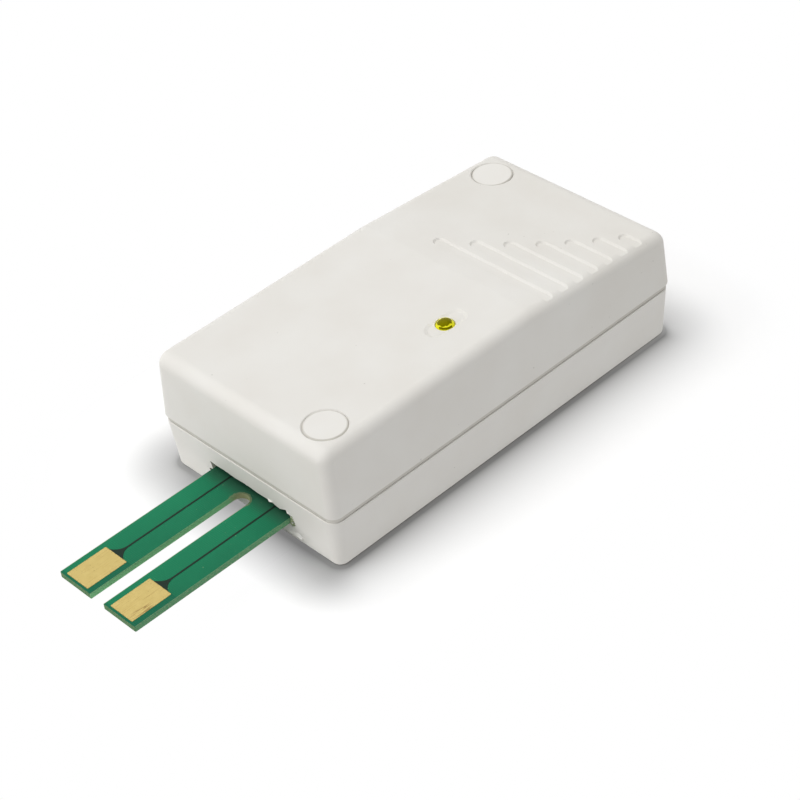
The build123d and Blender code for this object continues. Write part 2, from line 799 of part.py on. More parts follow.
def learn_button_body():
    """Square moulded body, hollow where the plunger works."""
    body = block(button_size, button_size, 0, button_height)
    shaft_foot = button_height - button_collar_height - button_travel - button_fit
    shaft = post(button_collar_radius + button_fit, shaft_foot, button_height + overrun)
    return button_place * (body - shaft)


def learn_button_plate():
    """Steel top plate that keeps the plunger in."""
    top = button_height + button_plate_thickness
    plate = block(button_size, button_size, button_height, top)
    plate -= post(button_plunger_radius + button_fit, button_height - overrun, top + overrun)
    return button_place * plate


def learn_button_legs():
    """Four flat legs that go down beside the body and through the board."""
    foot = board_level - antenna_tail
    leg = block(button_leg_thickness, button_leg_width, foot, board_top + button_leg_length)
    return Compound([place * leg for place in button_leg_places()])


def learn_button_plunger():
    """Round plunger with a collar that stops under the plate."""
    low = button_height - button_collar_height
    plunger = post(button_collar_radius, low, button_height)
    plunger += post(button_plunger_radius, low, button_height + button_plate_thickness + button_proud)
    return button_place * plunger


parts = {
    "base_shell": base_shell(),
    "cover_shell": cover_shell(),
    "case_screws": case_screws(),
    "screw_cap_front": screw_cap(*screw_places[0]),
    "screw_cap_rear": screw_cap(*screw_places[1]),
    "circuit_board": circuit_board(),
    "board_screws": board_screws(),
    "sensing_pad_left": sensing_pad(-1),
    "sensing_pad_right": sensing_pad(1),
    "sensing_track_left": sensing_track(-1),
    "sensing_track_right": sensing_track(1),
    "battery_holder": battery_holder(),
    "battery_left": battery(-1),
    "battery_right": battery(1),
    "battery_bridge": battery_bridge(),
    "battery_terminal_negative": battery_terminal(-1),
    "battery_terminal_positive": battery_terminal(1),
    "led_lens": led_lens(),
    "led_leads": led_leads(),
    "led_spacer": led_spacer(),
    "microcontroller": microcontroller(),
    "microcontroller_leads": microcontroller_leads(),
    "radio_board": radio_board(),
    "radio_shield": radio_shield(),
    "crystal": crystal(),
    "reservoir_capacitor": reservoir_capacitor(),
    "chip_resistors": chip_parts(resistor_shares, resistor_row_share, chip_part_height),
    "chip_capacitors": chip_parts(ceramic_shares, ceramic_row_share, ceramic_height),
    "loop_antenna": loop_antenna(),
    "learn_button_body": learn_button_body(),
    "learn_button_plate": learn_button_plate(),
    "learn_button_legs": learn_button_legs(),
    "learn_button_plunger": learn_button_plunger(),
}

os.makedirs("parts", exist_ok=True)
for name, shape in parts.items():
    export_step(shape, f"parts/{name}.step")
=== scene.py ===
# A battery-powered water leak sensor: a warm white two-part case, and a circuit board that
# reaches out of its front as a fork with a gold pad on each tine. Metres, +Z up, -Y to the fork.
import math

import bmesh
import bpy
from mathutils import Matrix, Vector, noise


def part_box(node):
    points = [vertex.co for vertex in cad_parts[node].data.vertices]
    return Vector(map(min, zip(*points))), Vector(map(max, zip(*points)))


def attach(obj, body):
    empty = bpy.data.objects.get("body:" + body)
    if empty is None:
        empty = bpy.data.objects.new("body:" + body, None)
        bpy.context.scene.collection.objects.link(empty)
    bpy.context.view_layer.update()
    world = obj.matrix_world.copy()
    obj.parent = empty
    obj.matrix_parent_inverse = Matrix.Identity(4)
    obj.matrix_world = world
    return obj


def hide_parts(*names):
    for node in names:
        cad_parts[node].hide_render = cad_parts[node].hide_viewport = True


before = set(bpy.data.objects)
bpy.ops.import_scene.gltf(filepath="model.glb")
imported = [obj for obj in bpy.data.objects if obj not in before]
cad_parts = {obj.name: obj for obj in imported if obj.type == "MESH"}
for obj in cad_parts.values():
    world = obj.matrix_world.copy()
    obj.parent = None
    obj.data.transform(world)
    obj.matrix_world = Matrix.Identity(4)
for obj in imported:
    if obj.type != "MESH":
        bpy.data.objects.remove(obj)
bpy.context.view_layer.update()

mm = 0.001


# Base shell: the lower tray of the case, injection moulded in warm white ABS in a mould with
# spark-eroded walls. The slot for the fork was cut and filed by hand in its front wall.
def colour(code):
    """Linear colour of an sRGB hex code."""
    channels = [int(code[start:start + 2], 16) / 255 for start in (1, 3, 5)]
    return (*[c / 12.92 if c <= 0.04045 else ((c + 0.055) / 1.055) ** 2.4 for c in channels], 1)


def add(tree, kind, inputs=None, **settings):
    """Adds a node with its settings. An input gets a value, or a link from a given socket or node."""
    node = tree.nodes.new("ShaderNode" + kind)
    for name, value in settings.items():
        setattr(node, name, value)
    for name, value in (inputs or {}).items():
        if isinstance(value, bpy.types.Node):
            value = next(socket for socket in value.outputs if socket.enabled)
        if isinstance(value, bpy.types.NodeSocket):
            tree.links.new(value, node.inputs[name])
        else:
            node.inputs[name].default_value = value
    return node


def fresh(name):
    """A new node material, its tree of nodes, and the place on the piece."""
    made = bpy.data.materials.new(name)
    made.use_nodes = True
    made.node_tree.nodes.clear()
    return made, made.node_tree, add(made.node_tree, "TexCoord").outputs["Object"]


def entry(made, name):
    """An input of a finished material's shader, and the socket that feeds it so far."""
    shader = next(node for node in made.node_tree.nodes if node.type == "BSDF_PRINCIPLED")
    return shader.inputs[name], shader.inputs[name].links[0].from_socket


def drawn_out(tree, place, size, detail, turn=0, roughness=0.5):
    """Noise with a grain of a size along each axis, turned about Z by some degrees."""
    stretched = add(tree, "Mapping", {"Vector": place, "Rotation": (0, 0, math.radians(turn)),
                                      "Scale": tuple(1 / side for side in size)})
    return add(tree, "TexNoise", {
        "Vector": stretched, "Scale": 1.0, "Detail": detail, "Roughness": roughness})


def dress(made, *node_names):
    """Puts a material on CAD nodes."""
    for node_name in node_names:
        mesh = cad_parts[node_name].data
        if not mesh.materials:
            mesh.materials.append(made)
        for index in range(len(mesh.materials)):
            mesh.materials[index] = made


def moulded_abs(name, pale, deep, grit):
    """ABS from a spark-eroded mould: satin, with a fine even grain and a trace of clouding."""
    made, tree, place = fresh(name)
    clouds = add(tree, "TexNoise", {"Vector": place, "Scale": 1 / (16 * mm), "Detail": 3.0})
    grain = add(tree, "TexNoise", {"Vector": place, "Scale": 1 / grit, "Detail": 2.0})
    dust = add(tree, "TexNoise", {"Vector": place, "Scale": 1 / (1.1 * mm), "Detail": 0.0})
    clouded = add(tree, "MapRange", {"Value": clouds, "From Min": 0.3, "From Max": 0.7})
    body = add(tree, "Mix", {0: clouded, 6: colour(pale), 7: colour(deep)}, data_type="RGBA")
    specks = add(tree, "MapRange", {"Value": dust, "From Min": 0.875, "From Max": 0.9, "To Max": 0.25})
    dusty = add(tree, "Mix", {0: specks, 6: body, 7: colour("#6F675C")}, data_type="RGBA")
    polish = add(tree, "MapRange", {"Value": grain, "To Min": 0.5, "To Max": 0.62})
    relief = add(tree, "Bump", {"Height": grain, "Strength": 0.22, "Distance": 0.02 * mm})
    shader = add(tree, "BsdfPrincipled", {
        "Base Color": dusty, "Roughness": polish,
        "Normal": relief, "IOR": 1.52, "Specular IOR Level": 0.35})
    add(tree, "OutputMaterial", {"Surface": shader})
    return made


# Spark grain is about 0.1 mm across, and is drawn at 0.35 mm so that it shows. The walls of the
# slot have none of it: they are scraped pale, with the strokes of the file across them.
base_abs = moulded_abs("spark_textured_abs_with_filed_slot", "#E3E1DC", "#DFDCD6", 0.35 * mm)
tree = base_abs.node_tree
colour_entry, plain_colour = entry(base_abs, "Base Color")
normal_entry, grain_normal = entry(base_abs, "Normal")
place = add(tree, "TexCoord").outputs["Object"]
spot = add(tree, "SeparateXYZ", {0: place})
facing = add(tree, "SeparateXYZ", {0: add(tree, "TexCoord").outputs["Normal"]})
ahead = add(tree, "Math", {0: spot.outputs["Y"], 1: -56.5 * mm}, operation="LESS_THAN")
beside = add(tree, "Math", {0: spot.outputs["X"], 1: 0.0, 2: 15.9 * mm}, operation="COMPARE")
within = add(tree, "Math", {0: spot.outputs["Z"], 1: 6.0 * mm, 2: 4.6 * mm}, operation="COMPARE")
turned_away = add(tree, "Math", {0: facing.outputs["Y"], 1: 0.0, 2: 0.6}, operation="COMPARE")
cut = ahead
for part in (beside, within, turned_away):
    cut = add(tree, "Math", {0: cut, 1: part}, operation="MULTIPLY")
filing = drawn_out(tree, place, (0.9 * mm, 0.25 * mm, 0.9 * mm), 4.0)
scraped = add(tree, "Mix", {0: filing, 6: colour("#F1EFEA"), 7: colour("#C9C4B6")}, data_type="RGBA")
filed = add(tree, "Mix", {0: cut, 6: plain_colour, 7: scraped}, data_type="RGBA")
depth = add(tree, "Math", {0: cut, 1: 0.9}, operation="MULTIPLY")
rough = add(tree, "Bump", {"Height": filing, "Strength": depth,
                           "Distance": 0.15 * mm, "Normal": grain_normal})
# A painted highlight brightens the base's edge under the cover along the front, where it faces the light.
lip = add(tree, "Math", {0: spot.outputs["Z"], 1: 14.8 * mm, 2: 0.24 * mm}, operation="COMPARE")
frontal = add(tree, "Math", {0: facing.outputs["Y"], 1: -0.6}, operation="LESS_THAN")
lip_highlight = add(tree, "Math", {0: lip, 1: frontal}, operation="MULTIPLY")
highlighted_edge = add(tree, "Mix", {0: lip_highlight, 6: filed, 7: colour("#F6F3EC")}, data_type="RGBA")
tree.links.new(highlighted_edge.outputs[2], colour_entry)
tree.links.new(rough.outputs["Normal"], normal_entry)
dress(base_abs, "base_shell")


# Burrs: thin curls of the same ABS that the cutter left along the edge of the slot, still held
# by their roots, and two tongues of the wall that it left standing below the board.
def piece(name, body, made, mesh):
    """A finished mesh as a named piece that rides on a body and takes its finish from a slot."""
    data = bpy.data.meshes.new(name)
    bmesh.ops.recalc_face_normals(mesh, faces=mesh.faces)
    mesh.to_mesh(data)
    mesh.free()
    data.shade_smooth()
    data.set_sharp_from_angle(angle=math.radians(35))
    data.materials.append(made)
    thing = bpy.data.objects.new(name, data)
    bpy.context.scene.collection.objects.link(thing)
    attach(thing, body)
    return thing


def skin(mesh, rings, closed=False):
    """Adds the faces over a row of rings with as many points each, and over both ends."""
    for first, second in zip(rings, rings[1:] + (rings[:1] if closed else [])):
        for corner in range(len(first)):
            after = (corner + 1) % len(first)
            mesh.faces.new((first[corner], first[after], second[after], second[corner]))
    if not closed:
        mesh.faces.new(rings[0])
        mesh.faces.new(rings[-1])


def sliver(mesh, left, right, level, height, lean, thickness=0.3, inset=0.0):
    """Adds a curl, all in mm, that hangs from a level at the slot and is tallest near its middle."""
    start, end = (Vector((side * mm, slot_front + inset * mm, level * mm)) for side in (left, right))
    steps = 7
    rings = []
    for step in range(steps + 1):
        share = step / steps
        swell = math.sin(math.pi * share) ** 0.6
        root = start.lerp(end, share)
        wobble = 0.25 * noise.noise(root * 2600)
        drop = Vector((0, 0, height * mm * swell * (0.8 + wobble)))
        out = Vector((0, -lean * mm * swell, 0))
        half = Vector((0, thickness * mm / 2, 0))
        rings.append([mesh.verts.new(root - half), mesh.verts.new(root + half),
                      mesh.verts.new(root + half * 0.3 + out - drop),
                      mesh.verts.new(root - half * 0.3 + out - drop)])
    skin(mesh, rings)


slot_front = -59.25 * mm
burrs = bmesh.new()
for curl in ((-9.6, -7.9, 9.22, 0.2, 0.10), (-1.9, -0.4, 9.2, 0.22, 0.12), (6.7, 8.8, 9.45, 0.4, 0.55),
             (13.3, 14.3, 9.0, 0.4, 0.3), (14.6, 15.3, 6.3, 0.3, 0.2)):
    sliver(burrs, *curl)
# The tongues stand up instead, one behind the fork's gap and one at the slot's right end.
sliver(burrs, -7.0, 1.6, 2.2, -3.0, -0.8, thickness=0.8)
sliver(burrs, 9.5, 17.4, 2.2, -3.1, -0.8, thickness=0.8, inset=0.3)
# Torn ABS turns white where it is stretched, so the curls are paler than the case.
torn_abs = moulded_abs("torn_abs", "#F4F2EE", "#E9E6DF", 0.2 * mm)
piece("slot_burrs", "housing", torn_abs, burrs)


# Circuit board: one 1.6 mm glass-fibre laminate with green solder mask on both faces, routed
# to shape, so that its cut edges show the bare fibre layers. It is screwed to four posts.
def masked_laminate(name):
    """Green solder mask, glossy and rippled by the glass weave below it, with bare cut edges."""
    made, tree, place = fresh(name)
    spot = add(tree, "SeparateXYZ", {0: place})
    facing = add(tree, "SeparateXYZ", {0: add(tree, "TexCoord").outputs["Normal"]})
    upright = add(tree, "Math", {0: facing.outputs["Z"]}, operation="ABSOLUTE")
    flat = add(tree, "Math", {0: upright, 1: 0.5}, operation="GREATER_THAN")
    # The tines lie 16.5 mm apart, so X is folded back to the left one's, from -14 to 2.5 mm.
    across = add(tree, "Math", {0: spot.outputs["X"], 1: 2.5 * mm, 2: -14.0 * mm}, operation="WRAP")
    shade = add(tree, "MapRange", {"Value": across, "From Min": -14 * mm, "From Max": 2.5 * mm,
                                   "To Min": 0.0, "To Max": 1.45})
    patches = add(tree, "TexNoise", {"Vector": place, "Scale": 1 / (7 * mm), "Detail": 2.0})
    uneven = add(tree, "MapRange", {"Value": patches, "From Min": 0.3, "From Max": 0.7,
                                    "To Min": -0.15, "To Max": 0.15})
    tone = add(tree, "Math", {0: shade, 1: uneven}, operation="ADD", use_clamp=True)
    mask = add(tree, "Mix", {0: tone, 6: colour("#23805A"), 7: colour("#217352")}, data_type="RGBA")
    # No copper backs the mask beside and in front of the pads, and it is darker there.
    beyond = add(tree, "Math", {0: across, 1: -4.9 * mm}, operation="GREATER_THAN")
    along = spot.outputs["Y"]
    forward = add(tree, "Math", {0: along, 1: -94.4 * mm}, operation="LESS_THAN")
    bare = add(tree, "Math", {0: beyond, 1: forward}, operation="MULTIPLY")
    tip = add(tree, "Math", {0: along, 1: -106.25 * mm}, operation="LESS_THAN")
    unbacked = add(tree, "Math", {0: bare, 1: tip}, operation="MAXIMUM")
    thin = add(tree, "Math", {0: unbacked, 1: 0.55}, operation="MULTIPLY")
    top = add(tree, "Mix", {0: thin, 6: mask, 7: colour("#1E614A")}, data_type="RGBA")
    # Glass yarns lie 0.55 mm apart both ways.
    weave = []
    for direction in ("X", "Y"):
        weave.append(add(tree, "TexWave", {
            "Vector": place, "Scale": 2 * math.pi / (20 * 0.55 * mm), "Distortion": 1.2,
            "Detail": 1.0, "Detail Scale": 0.6}, bands_direction=direction).outputs["Fac"])
    woven = add(tree, "Math", {0: weave[0], 1: weave[1]}, operation="MULTIPLY")
    thread = add(tree, "MapRange", {"Value": woven, "To Min": 0.86, "To Max": 1.10})
    rippled = add(tree, "Mix", {0: 1.0, 6: top, 7: thread}, data_type="RGBA", blend_type="MULTIPLY")
    # Little light reaches the mask close to the wall, and it is painted darker there, as painted shade.
    root = add(tree, "MapRange", {"Value": along, "From Min": -64.5 * mm, "From Max": -59.6 * mm,
                                  "To Max": 0.62}, interpolation_type="SMOOTHSTEP")
    wall_shaded = add(tree, "Mix", {0: root, 6: rippled, 7: colour("#30473A")}, data_type="RGBA")
    # The router pulls the mask back: a hair's breadth along each tine, and more round the gap's end.
    ragged = add(tree, "TexNoise", {"Vector": place, "Scale": 1 / (0.8 * mm), "Detail": 2.0})
    left_edge = add(tree, "Math", {0: across, 1: -13.88 * mm}, operation="LESS_THAN")
    right_edge = add(tree, "Math", {0: across, 1: -2.5 * mm, 2: 0.12 * mm}, operation="COMPARE")
    weaker = add(tree, "Math", {0: right_edge, 1: 0.4}, operation="MULTIPLY")
    sides = add(tree, "Math", {0: left_edge, 1: weaker}, operation="MAXIMUM")
    gap_end = -62.9 * mm
    outside = add(tree, "Math", {0: along, 1: gap_end}, operation="LESS_THAN")
    trimmed = add(tree, "Math", {0: sides, 1: outside}, operation="MULTIPLY")
    from_end = add(tree, "VectorMath", {0: place, 1: (0.0, gap_end, 7.2 * mm)}, operation="DISTANCE")
    pulled = add(tree, "MapRange", {"Value": ragged, "To Min": 2.6 * mm, "To Max": 3.3 * mm})
    end_rim = add(tree, "Math", {0: from_end, 1: pulled}, operation="LESS_THAN")
    rim = add(tree, "Math", {0: trimmed, 1: end_rim}, operation="MAXIMUM")
    peeled = add(tree, "Math", {0: rim, 1: 0.75}, operation="MULTIPLY")
    scuffs = add(tree, "Mix", {0: end_rim, 6: colour("#A4AC88"), 7: colour("#6F7A5A")}, data_type="RGBA")
    edged = add(tree, "Mix", {0: peeled, 6: wall_shaded, 7: scuffs}, data_type="RGBA")
    # Grains of dust and flux lie on the mask, mostly pale.
    grains = add(tree, "TexNoise", {"Vector": place, "Scale": 1 / (0.45 * mm), "Detail": 0.0})
    specks = add(tree, "MapRange", {"Value": grains, "From Min": 0.84, "From Max": 0.9, "To Max": 0.55})
    dusted = add(tree, "Mix", {0: specks, 6: edged, 7: colour("#9DBE8C")}, data_type="RGBA")
    # Eight layers of glass cloth in the 1.6 mm, each a streak of pale fibre in tan resin.
    fibres = drawn_out(tree, place, (0.7 * mm, 0.7 * mm, 0.2 * mm), 5.0, roughness=0.7)
    streak = add(tree, "MapRange", {"Value": fibres, "From Min": 0.42, "From Max": 0.7})
    routed = add(tree, "Mix", {0: streak, 6: colour("#4C9068"), 7: colour("#95AA84")}, data_type="RGBA")
    # The ends of the tines were cut slowest, and the heat has browned them.
    at_tip = add(tree, "Math", {0: facing.outputs["Y"], 1: -0.6}, operation="LESS_THAN")
    browned = add(tree, "Mix", {0: at_tip, 6: (1, 1, 1, 1), 7: (0.9, 0.72, 0.67, 1)}, data_type="RGBA")
    toasted = add(tree, "Mix", {0: 1.0, 6: routed, 7: browned}, data_type="RGBA", blend_type="MULTIPLY")
    # The walls of the gap get no direct light. Their cut resin is painted pale there, as painted light
    # thrown up on them by the white paper below.
    in_gap = add(tree, "Math", {0: spot.outputs["X"], 1: 0.0, 2: 2.6 * mm}, operation="COMPARE")
    paleness = add(tree, "MapRange", {"Value": along, "From Min": -66 * mm, "From Max": -63 * mm,
                                      "To Min": 0.8, "To Max": 0.6})
    gap_bounce_light = add(tree, "Math", {0: in_gap, 1: paleness}, operation="MULTIPLY")
    at_end = add(tree, "MapRange", {"Value": along, "From Min": -64.5 * mm, "From Max": -62 * mm})
    resin = add(tree, "Mix", {0: at_end, 6: colour("#8BCE95"), 7: colour("#B0A880")}, data_type="RGBA")
    walls = add(tree, "Mix", {0: gap_bounce_light, 6: toasted, 7: resin}, data_type="RGBA")
    coloured = add(tree, "Mix", {0: flat, 6: walls, 7: dusted}, data_type="RGBA")
    # The board throws only a little green on to the wall above it.
    bounced = add(tree, "Math", {0: add(tree, "LightPath").outputs["Is Diffuse Ray"], 1: 0.5},
                  operation="MULTIPLY")
    surface = add(tree, "Mix", {0: bounced, 6: coloured, 7: colour("#A8AEA4")}, data_type="RGBA")
    gloss = add(tree, "MapRange", {"Value": flat, "To Min": 0.85, "To Max": 0.32})
    height = add(tree, "Mix", {0: flat, 2: fibres, 3: woven})
    relief = add(tree, "Bump", {"Height": height, "Strength": 0.25, "Distance": 0.03 * mm})
    shader = add(tree, "BsdfPrincipled", {
        "Base Color": surface, "Roughness": gloss,
        "Normal": relief, "IOR": 1.5, "Specular IOR Level": 0.05})
    add(tree, "OutputMaterial", {"Surface": shader})
    return made


dress(masked_laminate("solder_mask_on_glass_laminate"), "circuit_board")


# Frayed edge: fibres of the laminate that the cutter tore loose where the fork enters the slot.
# They hang in layers from the board's right edge, stiff with resin.
frayed_edge = bmesh.new()
for curl in ((14.5, 15.4, 8.3, 0.5, 0.12), (14.4, 15.5, 7.7, 0.6, 0.2), (14.3, 15.6, 7.0, 0.6, 0.15),
             (14.0, 15.7, 6.3, 0.6, 0.2), (13.9, 15.8, 5.7, 0.7, 0.12)):
    sliver(frayed_edge, *curl)
# Torn glass fibre shows as olive resin with pale ends and dark gaps.
fray, tree, place = fresh("torn_glass_fibre")
strands = add(tree, "TexNoise", {
    "Vector": place, "Scale": 1 / (0.35 * mm), "Detail": 4.0, "Roughness": 0.7})
olive = add(tree, "MapRange", {"Value": strands, "From Min": 0.38, "From Max": 0.62})
tone = add(tree, "Mix", {0: olive, 6: colour("#3F5A3C"), 7: colour("#A9B48C")}, data_type="RGBA")
relief = add(tree, "Bump", {"Height": strands, "Strength": 0.5, "Distance": 0.06 * mm})
shader = add(tree, "BsdfPrincipled", {"Base Color": tone, "Roughness": 0.85, "Normal": relief})
add(tree, "OutputMaterial", {"Surface": shader})
piece("frayed_board_edge", "housing", fray, frayed_edge)


# Copper of the board under its mask: 0.4 mm traces from the tracks through the small parts to
# the chip, and on to the radio and the crystal. The mask over them stands a little proud.
def ribbon(mesh, path, width, low, high, closed=False):
    """Adds a flat strip of a width along a path of points, with mitred corners."""
    points = [Vector(point) * mm for point in path]
    rings = []
    for index, point in enumerate(points):
        steps = []
        if closed or index:
            steps.append((point - points[index - 1]).normalized())
        if closed or index < len(points) - 1:
            steps.append((points[(index + 1) % len(points)] - point).normalized())
        ahead = sum(steps, Vector((0, 0))).normalized()
        side = Vector((-ahead.y, ahead.x)) * width / 2 / max(ahead.dot(steps[0]), 0.3)
        corners = (point - side, point + side)
        rings.append([mesh.verts.new((*corner, level)) for corner, level in
                      ((corners[0], low), (corners[1], low), (corners[1], high), (corners[0], high))])
    skin(mesh, rings, closed)


def dog_leg(start, level, end):
    """Path from a start to an end, both on lines along Y, that crosses over at a level."""
    sway = math.copysign(0.5, end[0] - start[0])
    return [start, (start[0], level - 0.5), (start[0] + sway, level), (end[0] - sway, level),
            (end[0], level + 0.5), end]


def middle(node_name):
    """Centre of a CAD node's box."""
    low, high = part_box(node_name)
    return (low + high) / 2


def grained(name, light, dark, grain, rough, relief, depth, finish=None):
    """Material that wavers between two colours with a fine grain, which stands out a little."""
    made, tree, place = fresh(name)
    grains = add(tree, "TexNoise", {"Vector": place, "Scale": 1 / grain, "Detail": 3.0})
    tone = add(tree, "Mix", {0: grains, 6: colour(light), 7: colour(dark)}, data_type="RGBA")
    bumps = add(tree, "Bump", {"Height": grains, "Strength": relief, "Distance": depth})
    shader = add(tree, "BsdfPrincipled", {
        "Base Color": tone, "Roughness": rough, "Normal": bumps, **(finish or {})})
    add(tree, "OutputMaterial", {"Surface": shader})
    return made


board_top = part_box("circuit_board")[1].z
chip = middle("microcontroller") / mm
radio = middle("radio_board") / mm
quartz = middle("crystal") / mm
resistor_row = middle("chip_resistors") / mm
ceramic_row = middle("chip_capacitors") / mm
# The small parts stand 3.87 mm apart and the chip's legs 1.27 mm. A trace starts past their ends.
part_pitch = 3.87
part_end = 1.2
leg_pitch = 1.27
leg_end = 5.2
traces = bmesh.new()
routes = []
for side in (-1, 1):
    track = (side * 8.25, -55.8)
    routes.append(dog_leg(track, -51.0, (ceramic_row.x + side * 9.67, ceramic_row.y - part_end)))
for index in range(6):
    foot = ceramic_row.x + (index - 2.5) * part_pitch
    head = resistor_row.x + (index - 2.5) * part_pitch + (1.93 if index > 2 else -1.93)
    routes.append(dog_leg((foot, ceramic_row.y + part_end), ceramic_row.y + 2.6,
                          (head, resistor_row.y - part_end)))
for index in range(7):
    start = resistor_row.x + (index - 3) * part_pitch
    end = chip.x + (index - 4.5) * leg_pitch
    level = resistor_row.y + (5.4 - 0.75 * index if index < 5 else 2.4 + 0.8 * (index - 5))
    routes.append(dog_leg((start, resistor_row.y + part_end), level, (end, chip.y - leg_end)))
for index in range(4):
    start = (chip.x + (index - 4.5) * leg_pitch, chip.y + leg_end)
    level = chip.y + 9.9 + 1.2 * index
    routes.append([start, (start[0], level - 0.8), (start[0] - 0.8, level), (radio.x + 9.0, level)])
for index, side in ((5, -1), (7, 1)):
    start = (chip.x + (index - 4.5) * leg_pitch, chip.y + leg_end)
    routes.append(dog_leg(start, chip.y + 7.4, (quartz.x + side * 2.44, quartz.y - 2.0)))
for route in routes:
    ribbon(traces, route, 0.4 * mm, board_top - 0.02 * mm, board_top + 0.035 * mm)
# The mask over copper is paler than over bare laminate, and as glossy.
trace_copper = grained("copper_under_solder_mask", "#2F9468", "#38A074", 0.5 * mm, 0.35, 0.2, 0.01 * mm)
piece("copper_traces", "housing", trace_copper, traces)


# Printed outlines: white ink, screen-printed on the mask round the places of the larger parts
# before these are soldered on.
def frame_path(centre, width, length):
    """Corners of an upright rectangle round a centre."""
    return [(centre.x + across * width / 2, centre.y + along * length / 2)
            for across, along in ((-1, -1), (1, -1), (1, 1), (-1, 1))]


button = middle("learn_button_body") / mm
can = middle("reservoir_capacitor") / mm
outlines = bmesh.new()
ink_low, ink_high = board_top - 0.01 * mm, board_top + 0.02 * mm
for path in (frame_path(chip, 13.6, 6.6), frame_path(radio, 18.8, 14.8), frame_path(quartz, 12.4, 5.6),
             frame_path(button, 7.8, 7.0)):
    ribbon(outlines, path, 0.16 * mm, ink_low, ink_high, closed=True)
ring = [(can.x + 4.45 * math.cos(turn * math.pi / 32), can.y + 4.45 * math.sin(turn * math.pi / 32))
        for turn in range(64)]
ribbon(outlines, ring, 0.16 * mm, ink_low, ink_high, closed=True)
# The ink lies thin and matt, so the green below it greys it in places.
ink = grained("white_screen_print", "#ECECE4", "#C9D2C4", 0.3 * mm, 0.6, 0.0, 0.01 * mm)
piece("printed_outlines", "housing", ink, outlines)


# Solder: a plated ring round each drilled leg above the board, a cone of solder round each leg
# below it, and a small fillet at each end of the chip parts.
def turned(mesh, outline, centre, axis=(0, 0, 1), steps=32, loop=False):
    """Revolves an outline of (radius, distance along the axis) about an axis through a centre."""
    spin = Vector((0, 0, 1)).rotation_difference(Vector(axis)).to_matrix()
    rings = []
    for radius, along in outline:
        count = steps if radius else 1
        turns = [2 * math.pi * step / steps for step in range(count)]
        rings.append([mesh.verts.new(Vector(centre) + spin @ Vector((
            radius * math.cos(turn), radius * math.sin(turn), along))) for turn in turns])
    for first, second in zip(rings, rings[1:] + (rings[:1] if loop else [])):
        for step in range(steps):
            after = (step + 1) % steps
            corners = [first[step % len(first)], first[after % len(first)],
                       second[after % len(second)], second[step % len(second)]]
            mesh.faces.new(list(dict.fromkeys(corners)))


def metal(name, bright, dull, smooth, grain):
    """Bare or plated metal: a clouded sheen with fine hairlines."""
    made, tree, place = fresh(name)
    clouds = add(tree, "TexNoise", {"Vector": place, "Scale": 1 / (grain * 6), "Detail": 3.0})
    lines = drawn_out(tree, place, (grain, grain * 12, grain * 3), 3.0)
    tone = add(tree, "Mix", {0: clouds, 6: colour(bright), 7: colour(dull)}, data_type="RGBA")
    polish = add(tree, "MapRange", {"Value": lines, "From Min": 0.3, "From Max": 0.7,
                                    "To Min": smooth, "To Max": smooth + 0.14})
    relief = add(tree, "Bump", {"Height": lines, "Strength": 0.15, "Distance": 0.01 * mm})
    shader = add(tree, "BsdfPrincipled", {
        "Base Color": tone, "Metallic": 1.0, "Roughness": polish, "Normal": relief})
    add(tree, "OutputMaterial", {"Surface": shader})
    return made


def leg_grid(node_name, columns, rows, reach_across, reach_along):
    """Centres of a grid of legs from the box of all of them and one leg's half widths."""
    low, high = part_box(node_name)
    step_across = (high.x - low.x - 2 * reach_across) / max(columns - 1, 1)
    step_along = (high.y - low.y - 2 * reach_along) / max(rows - 1, 1)
    return [(low.x + reach_across + column * step_across, low.y + reach_along + row * step_along)
            for column in range(columns) for row in range(rows)]


board_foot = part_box("circuit_board")[0].z
joints = leg_grid("led_leads", 2, 1, 0.25 * mm, 0.25 * mm)
joints += leg_grid("learn_button_legs", 2, 2, 0.15 * mm, 0.35 * mm)
joints += leg_grid("loop_antenna", 1, 2, 0.6 * mm, 0.6 * mm)
for terminal in ("battery_terminal_negative", "battery_terminal_positive"):
    low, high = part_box(terminal)
    joints.append(((low.x + high.x) / 2, high.y - 0.2 * mm))
solder = bmesh.new()
for across, along in joints:
    turned(solder, [(0.8 * mm, 0.0), (1.25 * mm, 0.0), (1.25 * mm, 0.04 * mm), (0.8 * mm, 0.04 * mm)],
           (across, along, board_top), loop=True)
    turned(solder, [(0, 0.0), (1.2 * mm, 0.0), (1.1 * mm, -0.12 * mm), (0.75 * mm, -0.4 * mm),
                    (0.55 * mm, -0.9 * mm), (0.42 * mm, -1.1 * mm), (0, -1.15 * mm)],
           (across, along, board_foot))
for row, count, tall in ((resistor_row, 7, 0.4), (ceramic_row, 6, 0.6)):
    for index in range(count):
        across = (row.x + (index - (count - 1) / 2) * part_pitch) * mm
        for end in (-1, 1):
            wall = (row.y + end * 1.0) * mm
            toe = (row.y + end * 1.5) * mm
            corners = [(wall, board_top), (toe, board_top), (toe, board_top + 0.05 * mm),
                       ((wall * 2 + toe) / 3, board_top + 0.3 * tall * mm), (wall, board_top + tall * mm)]
            skin(solder, [[solder.verts.new((across + half * mm, *corner)) for corner in corners]
                          for half in (-0.62, 0.62)])
bright_solder = metal("bright_solder", "#D2D2CE", "#B4B4B0", 0.22, 0.15 * mm)
piece("solder_joints", "housing", bright_solder, solder)


# Board screws and case screws: rolled steel with pan heads and a cross recess. The zinc plate
# gives them a soft grey sheen with a faint blue.
screw_zinc = metal("zinc_plated_steel", "#BCC0C4", "#9EA2A6", 0.30, 0.12 * mm)
dress(screw_zinc, "board_screws", "case_screws")


